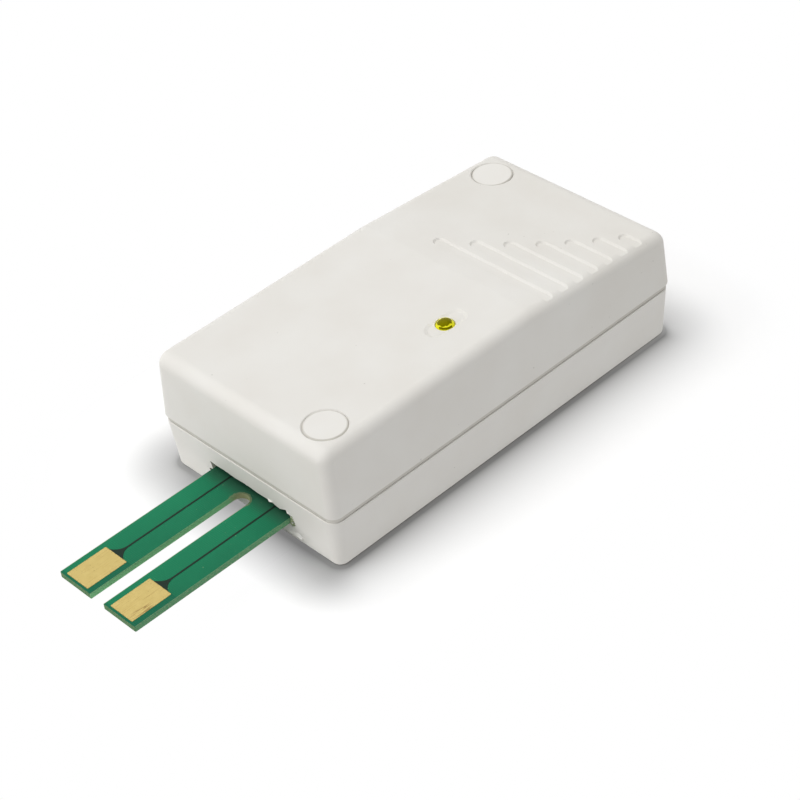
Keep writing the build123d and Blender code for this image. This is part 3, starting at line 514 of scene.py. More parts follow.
# Sensing tracks: copper strips under the mask that widen to a drop at each pad. The bare
# laminate beside them shows through the mask as a dark line.
track_copper = grained("masked_copper", "#18261E", "#1E3026", 0.4 * mm, 0.45, 0.2, 0.01 * mm,
                       {"Specular IOR Level": 0.1})
dress(track_copper, "sensing_track_left", "sensing_track_right")


# Sensing pads: copper plated with nickel and a thin flash of gold, bare of mask. Wiping and
# test clips have scratched them along and across, and their edges are brown with flux.
gold, tree, place = fresh("scratched_gold_plate")
marks = []
# Turn about Z, length and width of one kind of scratch, and how much of it shows.
for turn, length, width, start in ((0, 9, 0.2, 0.62), (-4, 7, 0.35, 0.65), (24, 5, 0.16, 0.68)):
    scratch = drawn_out(tree, place, (width * mm, length * mm, mm), 2.0, turn)
    marks.append(add(tree, "MapRange", {"Value": scratch, "From Min": start, "From Max": start + 0.08}))
scratched = marks[0]
for mark in marks[1:]:
    scratched = add(tree, "Math", {0: scratched, 1: mark}, operation="MAXIMUM")
# Clips have scored the outer edge of the right pad deepest.
right_low, right_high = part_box("sensing_pad_right")
scored_at = (right_high.x - 0.9 * mm, right_low.y + 3.6 * mm, right_high.z)
off_clip = add(tree, "VectorMath", {0: place, 1: scored_at}, operation="SUBTRACT")
squashed = add(tree, "VectorMath", {0: off_clip, 1: (1 / (1.5 * mm), 1 / (4.2 * mm), 0.0)},
               operation="MULTIPLY")
from_clip = add(tree, "VectorMath", {0: squashed}, operation="LENGTH")
clipped = add(tree, "MapRange", {"Value": from_clip, "From Min": 0.6, "From Max": 1.0,
                                 "To Min": 1.0, "To Max": 0.0})
scores = drawn_out(tree, place, (0.3 * mm, 4 * mm, mm), 3.0, turn=9)
deep = add(tree, "MapRange", {"Value": scores, "From Min": 0.52, "From Max": 0.6})
clip_marks = add(tree, "Math", {0: deep, 1: clipped}, operation="MULTIPLY")
faint = add(tree, "Math", {0: scratched, 1: 0.32}, operation="MULTIPLY")
dark = add(tree, "Math", {0: clip_marks, 1: 0.75}, operation="MULTIPLY")
worn = add(tree, "Math", {0: faint, 1: dark}, operation="MAXIMUM")
blotches = add(tree, "TexNoise", {"Vector": place, "Scale": 1 / (1.8 * mm), "Detail": 3.0})
plated = add(tree, "Mix", {0: blotches, 6: colour("#BEAB6F"), 7: colour("#AE9A5E")}, data_type="RGBA")
scuffed = add(tree, "Mix", {0: worn, 6: plated, 7: colour("#7A5E38")}, data_type="RGBA")
stains = add(tree, "TexNoise", {"Vector": place, "Scale": 1 / (0.55 * mm), "Detail": 2.0})
spots = add(tree, "MapRange", {"Value": stains, "From Min": 0.70, "From Max": 0.76, "To Max": 0.8})
stained = add(tree, "Mix", {0: spots, 6: scuffed, 7: colour("#6B5A3A")}, data_type="RGBA")
# The plating is bitten away in small nicks along the edges, where brown shows.
spot = add(tree, "SeparateXYZ", {0: place})
flaked = add(tree, "TexNoise", {"Vector": place, "Scale": 1 / (0.3 * mm), "Detail": 3.0})
bitten = add(tree, "MapRange", {"Value": flaked, "From Min": 0.3, "From Max": 0.7,
                                "To Min": -0.22 * mm, "To Max": 0.22 * mm})
edges = []
for socket, box_axis in ((spot.outputs["X"], 0), (spot.outputs["Y"], 1)):
    for node_name in ("sensing_pad_left", "sensing_pad_right"):
        low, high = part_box(node_name)
        centre = (low[box_axis] + high[box_axis]) / 2
        half = (high[box_axis] - low[box_axis]) / 2
        offset = add(tree, "Math", {0: socket, 1: centre}, operation="SUBTRACT")
        apart = add(tree, "Math", {0: offset}, operation="ABSOLUTE")
        edges.append(add(tree, "Math", {0: half, 1: apart}, operation="SUBTRACT"))
to_left = add(tree, "Math", {0: edges[0], 1: edges[2]}, operation="MINIMUM")
to_right = add(tree, "Math", {0: edges[1], 1: edges[3]}, operation="MINIMUM")
from_edge = add(tree, "Math", {0: to_left, 1: to_right}, operation="MAXIMUM")
ragged = add(tree, "Math", {0: from_edge, 1: bitten}, operation="ADD")
nicks = add(tree, "MapRange", {"Value": ragged, "From Min": 0.02 * mm, "From Max": 0.12 * mm,
                               "To Min": 0.75, "To Max": 0.0})
nicked = add(tree, "Mix", {0: nicks, 6: stained, 7: colour("#8C7444")}, data_type="RGBA")
dull = add(tree, "MapRange", {"Value": scratched, "To Min": 0.42, "To Max": 0.6})
relief = add(tree, "Bump", {"Height": scratched, "Strength": 0.3, "Distance": 0.01 * mm}, invert=True)
shader = add(tree, "BsdfPrincipled", {
    "Base Color": nicked, "Metallic": 1.0, "Roughness": dull, "Normal": relief})
add(tree, "OutputMaterial", {"Surface": shader})
dress(gold, "sensing_pad_left", "sensing_pad_right")


# Battery holder: one tray moulded in black glass-filled nylon, with a dull streaked surface,
# and contacts of nickel-plated spring steel pushed into its end walls.
def dark_moulding(name, shade, worn_shade, smooth, grit):
    """Black moulded plastic: flow streaks along it and a fine grit that scatters the light."""
    made, tree, place = fresh(name)
    grain = add(tree, "TexNoise", {"Vector": place, "Scale": 1 / grit, "Detail": 3.0})
    streaks = drawn_out(tree, place, (grit * 8, grit * 40, grit * 8), 3.0)
    tone = add(tree, "Mix", {0: streaks, 6: colour(shade), 7: colour(worn_shade)}, data_type="RGBA")
    polish = add(tree, "MapRange", {"Value": grain, "To Min": smooth, "To Max": smooth + 0.2})
    relief = add(tree, "Bump", {"Height": grain, "Strength": 0.3, "Distance": 0.02 * mm})
    shader = add(tree, "BsdfPrincipled", {
        "Base Color": tone, "Roughness": polish, "Normal": relief, "IOR": 1.53})
    add(tree, "OutputMaterial", {"Surface": shader})
    return made


dress(dark_moulding("glass_filled_nylon", "#17181A", "#26272A", 0.42, 0.3 * mm), "battery_holder")
spring_nickel = metal("nickel_plated_spring_steel", "#C9C3B4", "#B3AC9B", 0.24, 0.15 * mm)
dress(spring_nickel, "battery_terminal_negative", "battery_terminal_positive", "battery_bridge")


# Cells: a drawn steel can in a plain shrink sleeve that is folded over both ends. The positive
# end shows a pressed shoulder and nub, the negative end a flat disc.
sleeve, tree, place = fresh("blue_grey_shrink_sleeve")
drawn = drawn_out(tree, place, (3 * mm, 14 * mm, 3 * mm), 4.0)
tone = add(tree, "Mix", {0: drawn, 6: colour("#34495C"), 7: colour("#40586C")}, data_type="RGBA")
# A band of bare silver ink runs round the sleeve near the positive end of each cell.
spot = add(tree, "SeparateXYZ", {0: place})
bands = []
for node_name, end in (("battery_left", 0), ("battery_right", 1)):
    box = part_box(node_name)
    band = add(tree, "Math", {0: spot.outputs["Y"], 1: box[end].y + (9 if end == 0 else -9) * mm,
                              2: 4.5 * mm}, operation="COMPARE")
    own = add(tree, "Math", {0: spot.outputs["X"], 1: (box[0].x + box[1].x) / 2, 2: 7.4 * mm},
              operation="COMPARE")
    bands.append(add(tree, "Math", {0: band, 1: own}, operation="MULTIPLY"))
banded = add(tree, "Math", {0: bands[0], 1: bands[1]}, operation="MAXIMUM")
printed = add(tree, "Mix", {0: banded, 6: tone, 7: colour("#B9BEC2")}, data_type="RGBA")
relief = add(tree, "Bump", {"Height": drawn, "Strength": 0.15, "Distance": 0.03 * mm})
shader = add(tree, "BsdfPrincipled", {
    "Base Color": printed, "Roughness": 0.24, "Normal": relief, "IOR": 1.5})
add(tree, "OutputMaterial", {"Surface": shader})
can_steel = metal("nickel_plated_cell_can", "#C6C7C6", "#AEB0AF", 0.2, 0.2 * mm)
for node_name, ahead in (("battery_left", -1), ("battery_right", 1)):
    low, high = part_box(node_name)
    radius = (high.x - low.x) / 2
    centre = (low + high) / 2
    centre.y = low.y if ahead > 0 else high.y
    length = high.y - low.y
    shoulder = length - 1.3 * mm
    wrap = bmesh.new()
    turned(wrap, [(radius - 1.7 * mm, 0.12 * mm), (radius - 1.5 * mm, 0.02 * mm), (radius - 0.8 * mm, 0.0),
                  (radius - 0.3 * mm, 0.12 * mm), (radius, 0.6 * mm), (radius, shoulder - 0.6 * mm),
                  (radius - 0.3 * mm, shoulder - 0.12 * mm), (radius - 0.8 * mm, shoulder),
                  (radius - 1.3 * mm, shoulder - 0.02 * mm), (radius - 1.5 * mm, shoulder - 0.12 * mm),
                  (radius - 1.2 * mm, shoulder - 0.5 * mm), (radius - 1.2 * mm, 0.5 * mm)],
           centre, (0, ahead, 0), steps=64, loop=True)
    wrapped = piece(node_name + "_sleeve", "housing", sleeve, wrap)
    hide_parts(node_name)
    shell = bmesh.new()
    turned(shell, [(0, 0.1 * mm), (radius - 1.8 * mm, 0.1 * mm), (radius - 1.6 * mm, 0.16 * mm),
                   (radius - 1.25 * mm, 0.6 * mm), (radius - 1.25 * mm, shoulder - 0.6 * mm),
                   (radius - 1.6 * mm, shoulder - 0.2 * mm), (3.4 * mm, shoulder - 0.2 * mm),
                   (2.8 * mm, shoulder), (2.6 * mm, shoulder + 0.3 * mm), (2.6 * mm, length - 0.3 * mm),
                   (2.3 * mm, length), (0, length)],
           centre, (0, ahead, 0), steps=64)
    piece(node_name + "_can", "housing", can_steel, shell)


# Lamp leads and spacer: two tinned steel leads run down through a spacer, moulded in milky
# nylon, that holds the lamp up at the roof. The chip's and the button's legs are tinned too.
leg_tin = metal("tinned_legs", "#CACAC6", "#B2B2AE", 0.28, 0.1 * mm)
dress(leg_tin, "led_leads", "microcontroller_leads", "learn_button_legs")
# Light goes a little way into nylon, which softens its edges.
nylon = grained("natural_nylon", "#E4E0D2", "#D5D0BF", 0.6 * mm, 0.38, 0.2, 0.02 * mm, {
    "IOR": 1.53, "Subsurface Weight": 0.3, "Subsurface Radius": (1.0, 0.9, 0.7),
    "Subsurface Scale": 1.0 * mm})
dress(nylon, "led_spacer")


# Lamp: a round-nosed 5 mm lamp cast in clear yellow epoxy. Its look is painted into the colour: a dark
# patch stands for the lead frame seen through the nose, and a strong yellow on its rim is a painted glow
# of the light that the epoxy carries.
lamp_centre = middle("led_lens")
lamp_epoxy, tree, place = fresh("clear_yellow_epoxy")
flattened = add(tree, "VectorMath", {0: place, 1: (1.0, 1.0, 0.0)}, operation="MULTIPLY")
cast = add(tree, "TexNoise", {"Vector": place, "Scale": 1 / (0.45 * mm), "Detail": 2.0})
ripple = add(tree, "MapRange", {"Value": cast, "From Min": 0.3, "From Max": 0.7,
                                "To Min": -0.2 * mm, "To Max": 0.2 * mm})
patch = (lamp_centre.x - 0.25 * mm, lamp_centre.y - 0.03 * mm, 0.0)
from_patch = add(tree, "VectorMath", {0: flattened, 1: patch}, operation="DISTANCE")
frayed = add(tree, "Math", {0: from_patch, 1: ripple}, operation="ADD")
frame_shown = add(tree, "MapRange", {"Value": frayed, "From Min": 1.85 * mm,
                                     "From Max": 2.01 * mm, "To Min": 1.0, "To Max": 0.0})
from_axis = add(tree, "VectorMath", {0: flattened, 1: (lamp_centre.x, lamp_centre.y, 0.0)},
                operation="DISTANCE")
# Behind the painted frame, as seen from the front right and above, the painted glow shows as a thin rim.
front_right = (0.593, -0.499, 0.632)
nose = (lamp_centre.x, lamp_centre.y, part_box("led_lens")[1].z - 2.5 * mm)
from_nose = add(tree, "VectorMath", {0: place, 1: nose}, operation="SUBTRACT")
slant = add(tree, "VectorMath", {0: from_nose, 1: front_right}, operation="DOT_PRODUCT")
uneven = add(tree, "Math", {0: slant, 1: ripple}, operation="ADD")
inner = add(tree, "Math", {0: uneven, 1: 0.72 * mm}, operation="GREATER_THAN")
framed = add(tree, "Math", {0: frame_shown, 1: inner}, operation="MULTIPLY")
# A painted shade darkens a thin ring at the rim on the near side.
near_rim = add(tree, "Math", {0: from_axis, 1: 2.12 * mm, 2: 0.14 * mm}, operation="COMPARE")
near_side = (lamp_centre.x + 1.5 * mm, lamp_centre.y - 1.3 * mm, 0.0)
from_near_side = add(tree, "VectorMath", {0: flattened, 1: near_side}, operation="DISTANCE")
on_near_side = add(tree, "Math", {0: from_near_side, 1: 1.7 * mm}, operation="LESS_THAN")
shaded = add(tree, "Math", {0: near_rim, 1: on_near_side}, operation="MULTIPLY")
painted_glow = add(tree, "Mix", {0: cast, 6: colour("#FFFA38"), 7: colour("#F0EA1C")}, data_type="RGBA")
painted_frame_view = add(tree, "Mix", {0: cast, 6: colour("#7D7800"), 7: colour("#686300")}, data_type="RGBA")
darker = add(tree, "Math", {0: framed, 1: shaded}, operation="MAXIMUM")
tint = add(tree, "Mix", {0: darker, 6: painted_glow, 7: painted_frame_view}, data_type="RGBA")
shader = add(tree, "BsdfPrincipled", {
    "Base Color": tint, "Roughness": 0.25, "IOR": 1.53, "Specular IOR Level": 0.1,
    "Specular Tint": colour("#FFF020")})
add(tree, "OutputMaterial", {"Surface": shader})
dress(lamp_epoxy, "led_lens")


# Chip: black epoxy compound, pressed round the chip and its legs, with a fine matt grit and a
# round dimple that marks its first leg.
chip_epoxy = dark_moulding("chip_moulding_compound", "#1B1C1E", "#232427", 0.55, 0.12 * mm)
tree = chip_epoxy.node_tree
normal_entry, grit_normal = entry(chip_epoxy, "Normal")
place = add(tree, "TexCoord").outputs["Object"]
chip_low, chip_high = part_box("microcontroller")
mark = (chip_low.x + 1.3 * mm, chip_low.y + 1.3 * mm, chip_high.z)
from_mark = add(tree, "VectorMath", {0: place, 1: mark}, operation="DISTANCE")
bowl = add(tree, "MapRange", {"Value": from_mark, "From Min": 0.42 * mm, "From Max": 0.55 * mm})
sunk = add(tree, "Bump", {"Height": bowl, "Strength": 1.0, "Distance": 0.15 * mm, "Normal": grit_normal})
tree.links.new(sunk.outputs["Normal"], normal_entry)
dress(chip_epoxy, "microcontroller")


# Radio: a thin green daughter board soldered flat by gold half-round pads along its long sides,
# with a pressed tin-plated can over its chips. The crystal has the same kind of can.
radio_mask, tree, place = fresh("radio_solder_mask")
facing = add(tree, "SeparateXYZ", {0: add(tree, "TexCoord").outputs["Normal"]})
flat = add(tree, "Math", {0: facing.outputs["Z"], 1: 0.5}, operation="GREATER_THAN")
patches = add(tree, "TexNoise", {"Vector": place, "Scale": 1 / (1.2 * mm), "Detail": 4.0})
green = add(tree, "Mix", {0: patches, 6: colour("#1C5F4A"), 7: colour("#2A7A5A")}, data_type="RGBA")
tone = add(tree, "Mix", {0: flat, 6: colour("#7E8A62"), 7: green}, data_type="RGBA")
relief = add(tree, "Bump", {"Height": patches, "Strength": 0.2, "Distance": 0.02 * mm})
shader = add(tree, "BsdfPrincipled", {"Base Color": tone, "Roughness": 0.3, "Normal": relief})
add(tree, "OutputMaterial", {"Surface": shader})
dress(radio_mask, "radio_board")
radio_low, radio_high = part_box("radio_board")
pads = bmesh.new()
for side in (-1, 1):
    edge = radio_low.y if side < 0 else radio_high.y
    for index in range(8):
        across = (radio_low.x + radio_high.x) / 2 + (index - 3.5) * 2.0 * mm
        bite = [(0.55, 1.3), (0.55, -0.06), (0.3, -0.06), (0.21, 0.15), (0.0, 0.24), (-0.21, 0.15),
                (-0.3, -0.06), (-0.55, -0.06), (-0.55, 1.3)]
        skin(pads, [[pads.verts.new((across + share * mm, edge - side * inward * mm, level))
                     for share, inward in bite]
                    for level in (radio_low.z + 0.01 * mm, radio_high.z + 0.03 * mm)])
gold_flash = metal("gold_flash", "#D9B866", "#C6A352", 0.25, 0.1 * mm)
piece("radio_pads", "housing", gold_flash, pads)
can_tin = metal("pressed_tinplate", "#C9CAC6", "#B5B6B2", 0.26, 0.2 * mm)
dress(can_tin, "radio_shield", "crystal", "learn_button_plate")


# Reservoir capacitor: an aluminium can in a black shrink sleeve with a grey stripe down its
# negative side, and a bare top scored with a cross that lets gas out.
capacitor_wrap, tree, place = fresh("black_sleeve_and_scored_top")
low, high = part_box("reservoir_capacitor")
centre = (low + high) / 2
local = add(tree, "VectorMath", {0: place, 1: tuple(centre)}, operation="SUBTRACT")
spot = add(tree, "SeparateXYZ", {0: local})
plan = add(tree, "VectorMath", {0: local, 1: (1.0, 1.0, 0.0)}, operation="MULTIPLY")
radius = add(tree, "VectorMath", {0: plan}, operation="LENGTH")
half_height = high.z - centre.z
above = add(tree, "Math", {0: spot.outputs["Z"], 1: half_height - 0.1 * mm}, operation="GREATER_THAN")
inside = add(tree, "Math", {0: radius, 1: 3.1 * mm}, operation="LESS_THAN")
bare_top = add(tree, "Math", {0: above, 1: inside}, operation="MULTIPLY")
scores = []
for axis in ("X", "Y"):
    scores.append(add(tree, "Math", {0: spot.outputs[axis], 1: 0.0, 2: 0.12 * mm}, operation="COMPARE"))
cross = add(tree, "Math", {0: scores[0], 1: scores[1]}, operation="MAXIMUM")
scored = add(tree, "Math", {0: cross, 1: bare_top}, operation="MULTIPLY")
stripe = add(tree, "Math", {0: spot.outputs["Y"], 1: 0.0, 2: 1.3 * mm}, operation="COMPARE")
left = add(tree, "Math", {0: spot.outputs["X"], 1: -1.0 * mm}, operation="LESS_THAN")
striped = add(tree, "Math", {0: stripe, 1: left}, operation="MULTIPLY")
grain = add(tree, "TexNoise", {"Vector": place, "Scale": 1 / (0.5 * mm), "Detail": 4.0})
black = add(tree, "Mix", {0: grain, 6: colour("#191A1D"), 7: colour("#232529")}, data_type="RGBA")
sleeved = add(tree, "Mix", {0: striped, 6: black, 7: colour("#8E949A")}, data_type="RGBA")
topped = add(tree, "Mix", {0: bare_top, 6: sleeved, 7: colour("#C4C5C4")}, data_type="RGBA")
relief = add(tree, "Bump", {"Height": scored, "Strength": 0.8, "Distance": 0.1 * mm}, invert=True)
shader = add(tree, "BsdfPrincipled", {
    "Base Color": topped, "Metallic": bare_top, "Roughness": 0.3, "Normal": relief, "IOR": 1.5})
add(tree, "OutputMaterial", {"Surface": shader})
dress(capacitor_wrap, "reservoir_capacitor")


# Chip resistors and chip capacitors: small blocks of fired ceramic whose two ends are dipped in
# tin. Solder holds them by these ends.
def chip_ceramic(name, shade, glaze, row_centre):
    """Fired ceramic block, glazed or bare, with a tinned cap at each end of its length."""
    made, tree, place = fresh(name)
    spot = add(tree, "SeparateXYZ", {0: place})
    body = add(tree, "Math", {0: spot.outputs["Y"], 1: row_centre, 2: 0.62 * mm}, operation="COMPARE")
    fired = add(tree, "TexNoise", {"Vector": place, "Scale": 1 / (0.2 * mm), "Detail": 3.0})
    stony = add(tree, "Mix", {0: fired, 6: colour(shade), 7: colour(glaze)}, data_type="RGBA")
    tone = add(tree, "Mix", {0: body, 6: colour("#C8C8C4"), 7: stony}, data_type="RGBA")
    tinned = add(tree, "Math", {0: 1.0, 1: body}, operation="SUBTRACT")
    relief = add(tree, "Bump", {"Height": fired, "Strength": 0.2, "Distance": 0.02 * mm})
    shader = add(tree, "BsdfPrincipled", {
        "Base Color": tone, "Metallic": tinned, "Roughness": 0.32, "Normal": relief})
    add(tree, "OutputMaterial", {"Surface": shader})
    return made


dress(chip_ceramic("glazed_resistor", "#15171A", "#1D2024", resistor_row.y * mm), "chip_resistors")
dress(chip_ceramic("brown_ceramic", "#8A6244", "#9C7454", ceramic_row.y * mm), "chip_capacitors")


# Loop antenna: a bow of thick copper wire in clear enamel, bent by hand, with both ends
# soldered into the board. It shines a warm orange.
dress(metal("enamelled_copper", "#BE6E46", "#A65A36", 0.2, 0.12 * mm), "loop_antenna")


# Learn button: a body and a plunger moulded in black plastic, under a steel plate that is
# clipped over them. The legs are soldered into the board.
button_black = dark_moulding("button_moulding", "#161718", "#202123", 0.4, 0.15 * mm)
dress(button_black, "learn_button_body", "learn_button_plunger")


# Cover shell: the upper half of the case, moulded like the base, in one shot with the stepped
# grooves and the hollow round the lamp. It sits on the base's edge.
cover_abs = moulded_abs("spark_textured_abs_with_shadow_groove", "#E3E1DC", "#DFDCD6", 0.35 * mm)
tree = cover_abs.node_tree
colour_entry, plain_colour = entry(cover_abs, "Base Color")
spot = add(tree, "SeparateXYZ", {0: add(tree, "TexCoord").outputs["Object"]})
# The recessed band above the base's edge is painted darker, as painted shade in the groove.
from_groove = add(tree, "Math", {0: spot.outputs["Z"], 1: 15.2 * mm}, operation="SUBTRACT")
off_middle = add(tree, "Math", {0: from_groove}, operation="ABSOLUTE")
groove_shade_mask = add(tree, "MapRange", {"Value": off_middle, "From Min": 0.45 * mm, "From Max": 1.1 * mm,
                              "To Min": 0.36, "To Max": 0.0}, interpolation_type="SMOOTHSTEP")
groove_shaded = add(tree, "Mix", {0: groove_shade_mask, 6: plain_colour, 7: colour("#A9A596")}, data_type="RGBA")
# The sloping rear is painted a trace darker than the level front, as painted shade.
rearward = add(tree, "MapRange", {"Value": spot.outputs["Y"], "From Min": 16 * mm, "From Max": 32 * mm})
slope_shade = add(tree, "Mix", {0: rearward, 6: (1, 1, 1, 1), 7: (0.978, 0.976, 0.970, 1)}, data_type="RGBA")
painted_cover_shade = add(tree, "Mix", {0: 1.0, 6: groove_shaded, 7: slope_shade}, data_type="RGBA", blend_type="MULTIPLY")
tree.links.new(painted_cover_shade.outputs[2], colour_entry)
dress(cover_abs, "cover_shell")


# Screw caps: flat discs of the same ABS from a polished mould, so they are a little smoother.
# They are pushed into their seats over the two case screws.
cap_abs = moulded_abs("smooth_abs_with_grey_rim_line", "#E5E3DE", "#E2DFD9", 0.5 * mm)
tree = cap_abs.node_tree
colour_entry, plain_colour = entry(cap_abs, "Base Color")
level_place = add(tree, "VectorMath", {0: add(tree, "TexCoord").outputs["Object"], 1: (1.0, 1.0, 0.0)},
                  operation="MULTIPLY")
from_caps = []
for node_name in ("screw_cap_front", "screw_cap_rear"):
    centre = middle(node_name)
    from_caps.append(add(tree, "VectorMath", {0: level_place, 1: (centre.x, centre.y, 0.0)},
                         operation="DISTANCE"))
from_cap = add(tree, "Math", {0: from_caps[0], 1: from_caps[1]}, operation="MINIMUM")
# A fine grey line is painted in the joint round each disc, at its rim.
low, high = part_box("screw_cap_front")
cap_radius = (high.x - low.x) / 2
joint = add(tree, "MapRange", {"Value": from_cap, "From Min": cap_radius - 0.60 * mm,
                               "From Max": cap_radius - 0.24 * mm, "To Max": 0.7})
rimmed = add(tree, "Mix", {0: joint, 6: plain_colour, 7: colour("#B9B5AB")}, data_type="RGBA")
tree.links.new(rimmed.outputs[2], colour_entry)
dress(cap_abs, "screw_cap_front", "screw_cap_rear")


# Studio: a white floor, a broad soft light overhead, a weak one from the front left, and the
# photograph's viewpoint.
def distance_from(tree, spot, middle_y, half_x, half_y, corner):
    """Socket with the distance of a floor point from an upright rectangle with round corners."""
    apart = []
    for axis, centre, half in (("X", 0.0, half_x), ("Y", middle_y, half_y)):
        offset = add(tree, "Math", {0: spot.outputs[axis], 1: centre}, operation="SUBTRACT")
        size = add(tree, "Math", {0: offset}, operation="ABSOLUTE")
        over = add(tree, "Math", {0: size, 1: half - corner}, operation="SUBTRACT")
        apart.append(add(tree, "Math", {0: over, 1: 0.0}, operation="MAXIMUM"))
    joined = add(tree, "CombineXYZ", {0: apart[0], 1: apart[1]})
    length = add(tree, "VectorMath", {0: joined}, operation="LENGTH")
    beyond = add(tree, "Math", {0: length, 1: corner}, operation="SUBTRACT")
    return add(tree, "Math", {0: beyond, 1: 0.0}, operation="MAXIMUM")


def darkening(tree, away, reach, depth):
    """Level that is lower by a depth at the case's foot and climbs back to 1 over a reach."""
    falling = add(tree, "Math", {0: away, 1: -1 / reach}, operation="MULTIPLY")
    decay = add(tree, "Math", {0: falling}, operation="EXPONENT")
    return add(tree, "Math", {0: decay, 1: -depth, 2: 1.0}, operation="MULTIPLY_ADD")


floor_mesh = bmesh.new()
bmesh.ops.create_grid(floor_mesh, x_segments=2, y_segments=2, size=6)
floor_data = bpy.data.meshes.new("floor")
floor_mesh.to_mesh(floor_data)
floor_mesh.free()
floor = bpy.data.objects.new("floor", floor_data)
bpy.context.scene.collection.objects.link(floor)
paper, tree, place = fresh("white_paper")
path = add(tree, "LightPath")
lit = add(tree, "BsdfDiffuse", {"Color": (0.95, 0.95, 0.95, 1)})
spot = add(tree, "SeparateXYZ", {0: place})
# A shadow is painted on the paper round the case's foot, over its real shadow, and fades out 18 mm from
# the foot, which is 62.4 by 119.4 mm.
foot_x = 31.2 * mm
foot_y = 59.7 * mm
foot_corner = 3.6 * mm
away = distance_from(tree, spot, 0.0, foot_x, foot_y, foot_corner)
across = add(tree, "MapRange", {"Value": spot.outputs["X"], "From Min": -20 * mm, "From Max": 20 * mm,
                                "To Min": 0.58, "To Max": 0.46})
behind = add(tree, "MapRange", {"Value": spot.outputs["Y"], "From Min": 30 * mm, "From Max": 60 * mm,
                                "To Min": 0.0, "To Max": 0.3})
foot = add(tree, "Math", {0: across, 1: behind}, operation="ADD")
painted_foot_shadow = add(tree, "MapRange", {"Value": away, "From Max": 18 * mm, "To Min": foot,
                              "To Max": 0.99}, interpolation_type="SMOOTHSTEP")
# To the right the painted shadow fades evenly instead, and the line of contact itself is painted darkest.
right_fade = darkening(tree, away, 5.5 * mm, 0.53)
past_right = add(tree, "Math", {0: spot.outputs["X"], 1: foot_x - foot_corner}, operation="SUBTRACT")
past_right = add(tree, "Math", {0: past_right, 1: 0.0}, operation="MAXIMUM")
reach = add(tree, "Math", {0: away, 1: foot_corner}, operation="ADD")
sideways = add(tree, "Math", {0: past_right, 1: reach}, operation="DIVIDE")
rightness = add(tree, "Math", {0: sideways, 1: 4.0}, operation="POWER", use_clamp=True)
joined = add(tree, "Mix", {0: rightness, 2: painted_foot_shadow, 3: right_fade})
crisp = darkening(tree, away, 0.9 * mm, 0.36)
total = add(tree, "Math", {0: joined, 1: crisp}, operation="MULTIPLY")
shade = add(tree, "CombineColor", {0: total, 1: total, 2: total})
seen = add(tree, "BsdfDiffuse", {"Color": shade})
# Below the fork the paper shows as plain white light that leaves out the fork's shadow, and the case's
# shadow is painted on it near the wall.
under = distance_from(tree, spot, -86.0 * mm, 14 * mm, 25 * mm, 0.0)
open_floor = add(tree, "MapRange", {"Value": under, "From Min": 2 * mm, "From Max": 16 * mm},
                 interpolation_type="SMOOTHSTEP")
near_wall = add(tree, "MapRange", {"Value": away, "From Max": 15 * mm, "To Min": 0.34, "To Max": 1.0})
beside = add(tree, "MapRange", {"Value": spot.outputs["X"], "From Min": 5 * mm, "From Max": 9 * mm})
deep = darkening(tree, away, 2.2 * mm, 0.42)
line = add(tree, "Mix", {0: beside, 2: 1.0, 3: deep})
edged = add(tree, "Math", {0: near_wall, 1: line}, operation="MULTIPLY")
bright = add(tree, "Emission", {"Color": (1, 1, 1, 1), "Strength": edged})
# Far from the case the paper is as white as the backdrop.
near = add(tree, "MapRange", {"Value": away, "From Min": 18 * mm, "From Max": 34 * mm, "To Min": 1.0,
                              "To Max": 0.0}, interpolation_type="SMOOTHSTEP")
plain = add(tree, "Math", {0: open_floor, 1: near}, operation="MULTIPLY")
blended = add(tree, "MixShader", {0: plain, 1: bright, 2: seen})
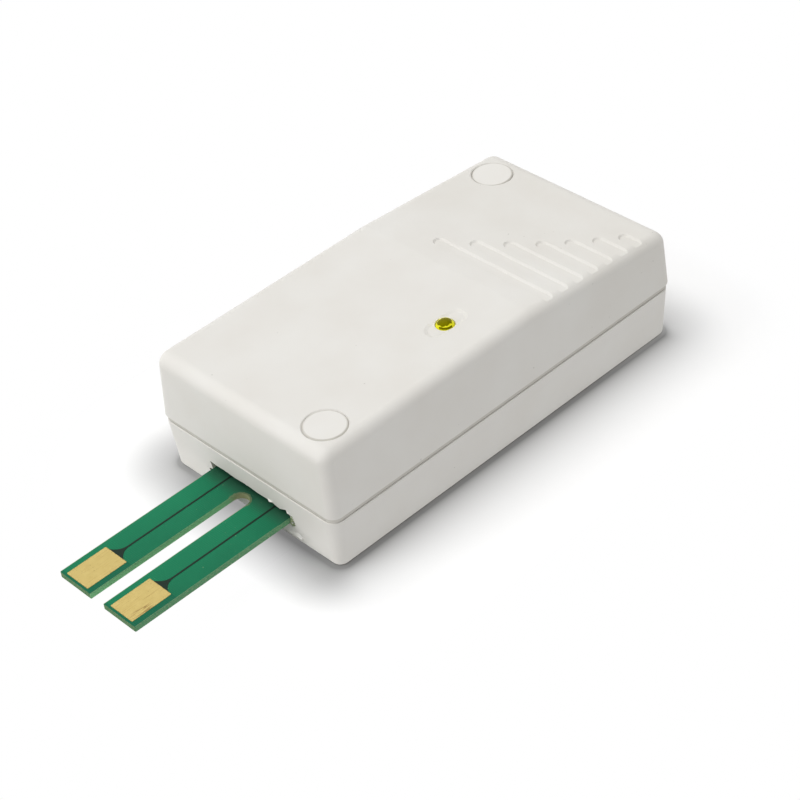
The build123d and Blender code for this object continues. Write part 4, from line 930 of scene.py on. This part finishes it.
# The paper on the right throws its light back up on to the case as if nothing shaded it.
bounce_side = add(tree, "MapRange", {"Value": spot.outputs["X"], "From Min": 27 * mm, "From Max": 36 * mm},
                  interpolation_type="SMOOTHSTEP")
glowing = add(tree, "Emission", {"Color": (1, 1, 1, 1), "Strength": 0.93})
bounce = add(tree, "MixShader", {0: bounce_side, 1: lit, 2: glowing})
shown = add(tree, "MixShader", {0: path.outputs["Is Camera Ray"], 1: bounce, 2: blended})
add(tree, "OutputMaterial", {"Surface": shown})
floor_data.materials.append(paper)

# The world is a weak even light, and white to the eye and in every reflection.
world = bpy.data.worlds.new("studio")
bpy.context.scene.world = world
world.use_nodes = True
world.node_tree.nodes.clear()
tree = world.node_tree
path = add(tree, "LightPath")
direct = path.outputs["Is Camera Ray"]
for ray in ("Is Glossy Ray", "Is Transmission Ray"):
    direct = add(tree, "Math", {0: direct, 1: path.outputs[ray]}, operation="MAXIMUM")
level = add(tree, "MapRange", {"Value": direct, "To Min": 0.30, "To Max": 1.0})
sky = add(tree, "Background", {"Color": (1, 1, 1, 1), "Strength": level})
add(tree, "OutputWorld", {"Surface": sky})

# Name, direction to the light, width of the light in degrees, and strength.
for name, toward, spread, strength in (
        ("overhead_softbox", (-0.10, -0.06, 1.0), 64, 2.05),
        ("front_fill", (-0.55, -1.0, 0.45), 40, 0.78)):
    lamp = bpy.data.lights.new(name, "SUN")
    lamp.energy = strength
    lamp.angle = math.radians(spread)
    holder = bpy.data.objects.new(name, lamp)
    holder.rotation_euler = Vector(toward).to_track_quat("Z", "Y").to_euler()
    bpy.context.scene.collection.objects.link(holder)

# The camera stands 553 mm from a point near the lamp, in front of the case and to its right.
azimuth, elevation, roll = (math.radians(angle) for angle in (49.92, 39.19, -6.72))
back = Vector((math.sin(azimuth) * math.cos(elevation), -math.cos(azimuth) * math.cos(elevation),
               math.sin(elevation)))
level_right = Vector((math.cos(azimuth), math.sin(azimuth), 0))
level_up = back.cross(level_right)
right = level_right * math.cos(roll) + level_up * math.sin(roll)
up = level_up * math.cos(roll) - level_right * math.sin(roll)
camera = bpy.data.objects.new("camera", bpy.data.cameras.new("camera"))
camera.data.lens = 100.39
camera.data.clip_start = 0.01
camera.data.clip_end = 50
position = Vector((7.43, -15.4, 12.0)) * mm + back * 553.01 * mm
camera.matrix_world = Matrix.Translation(position) @ Matrix((right, up, back)).transposed().to_4x4()
bpy.context.scene.collection.objects.link(camera)
bpy.context.scene.camera = camera
bpy.context.scene.view_settings.view_transform = "Standard"
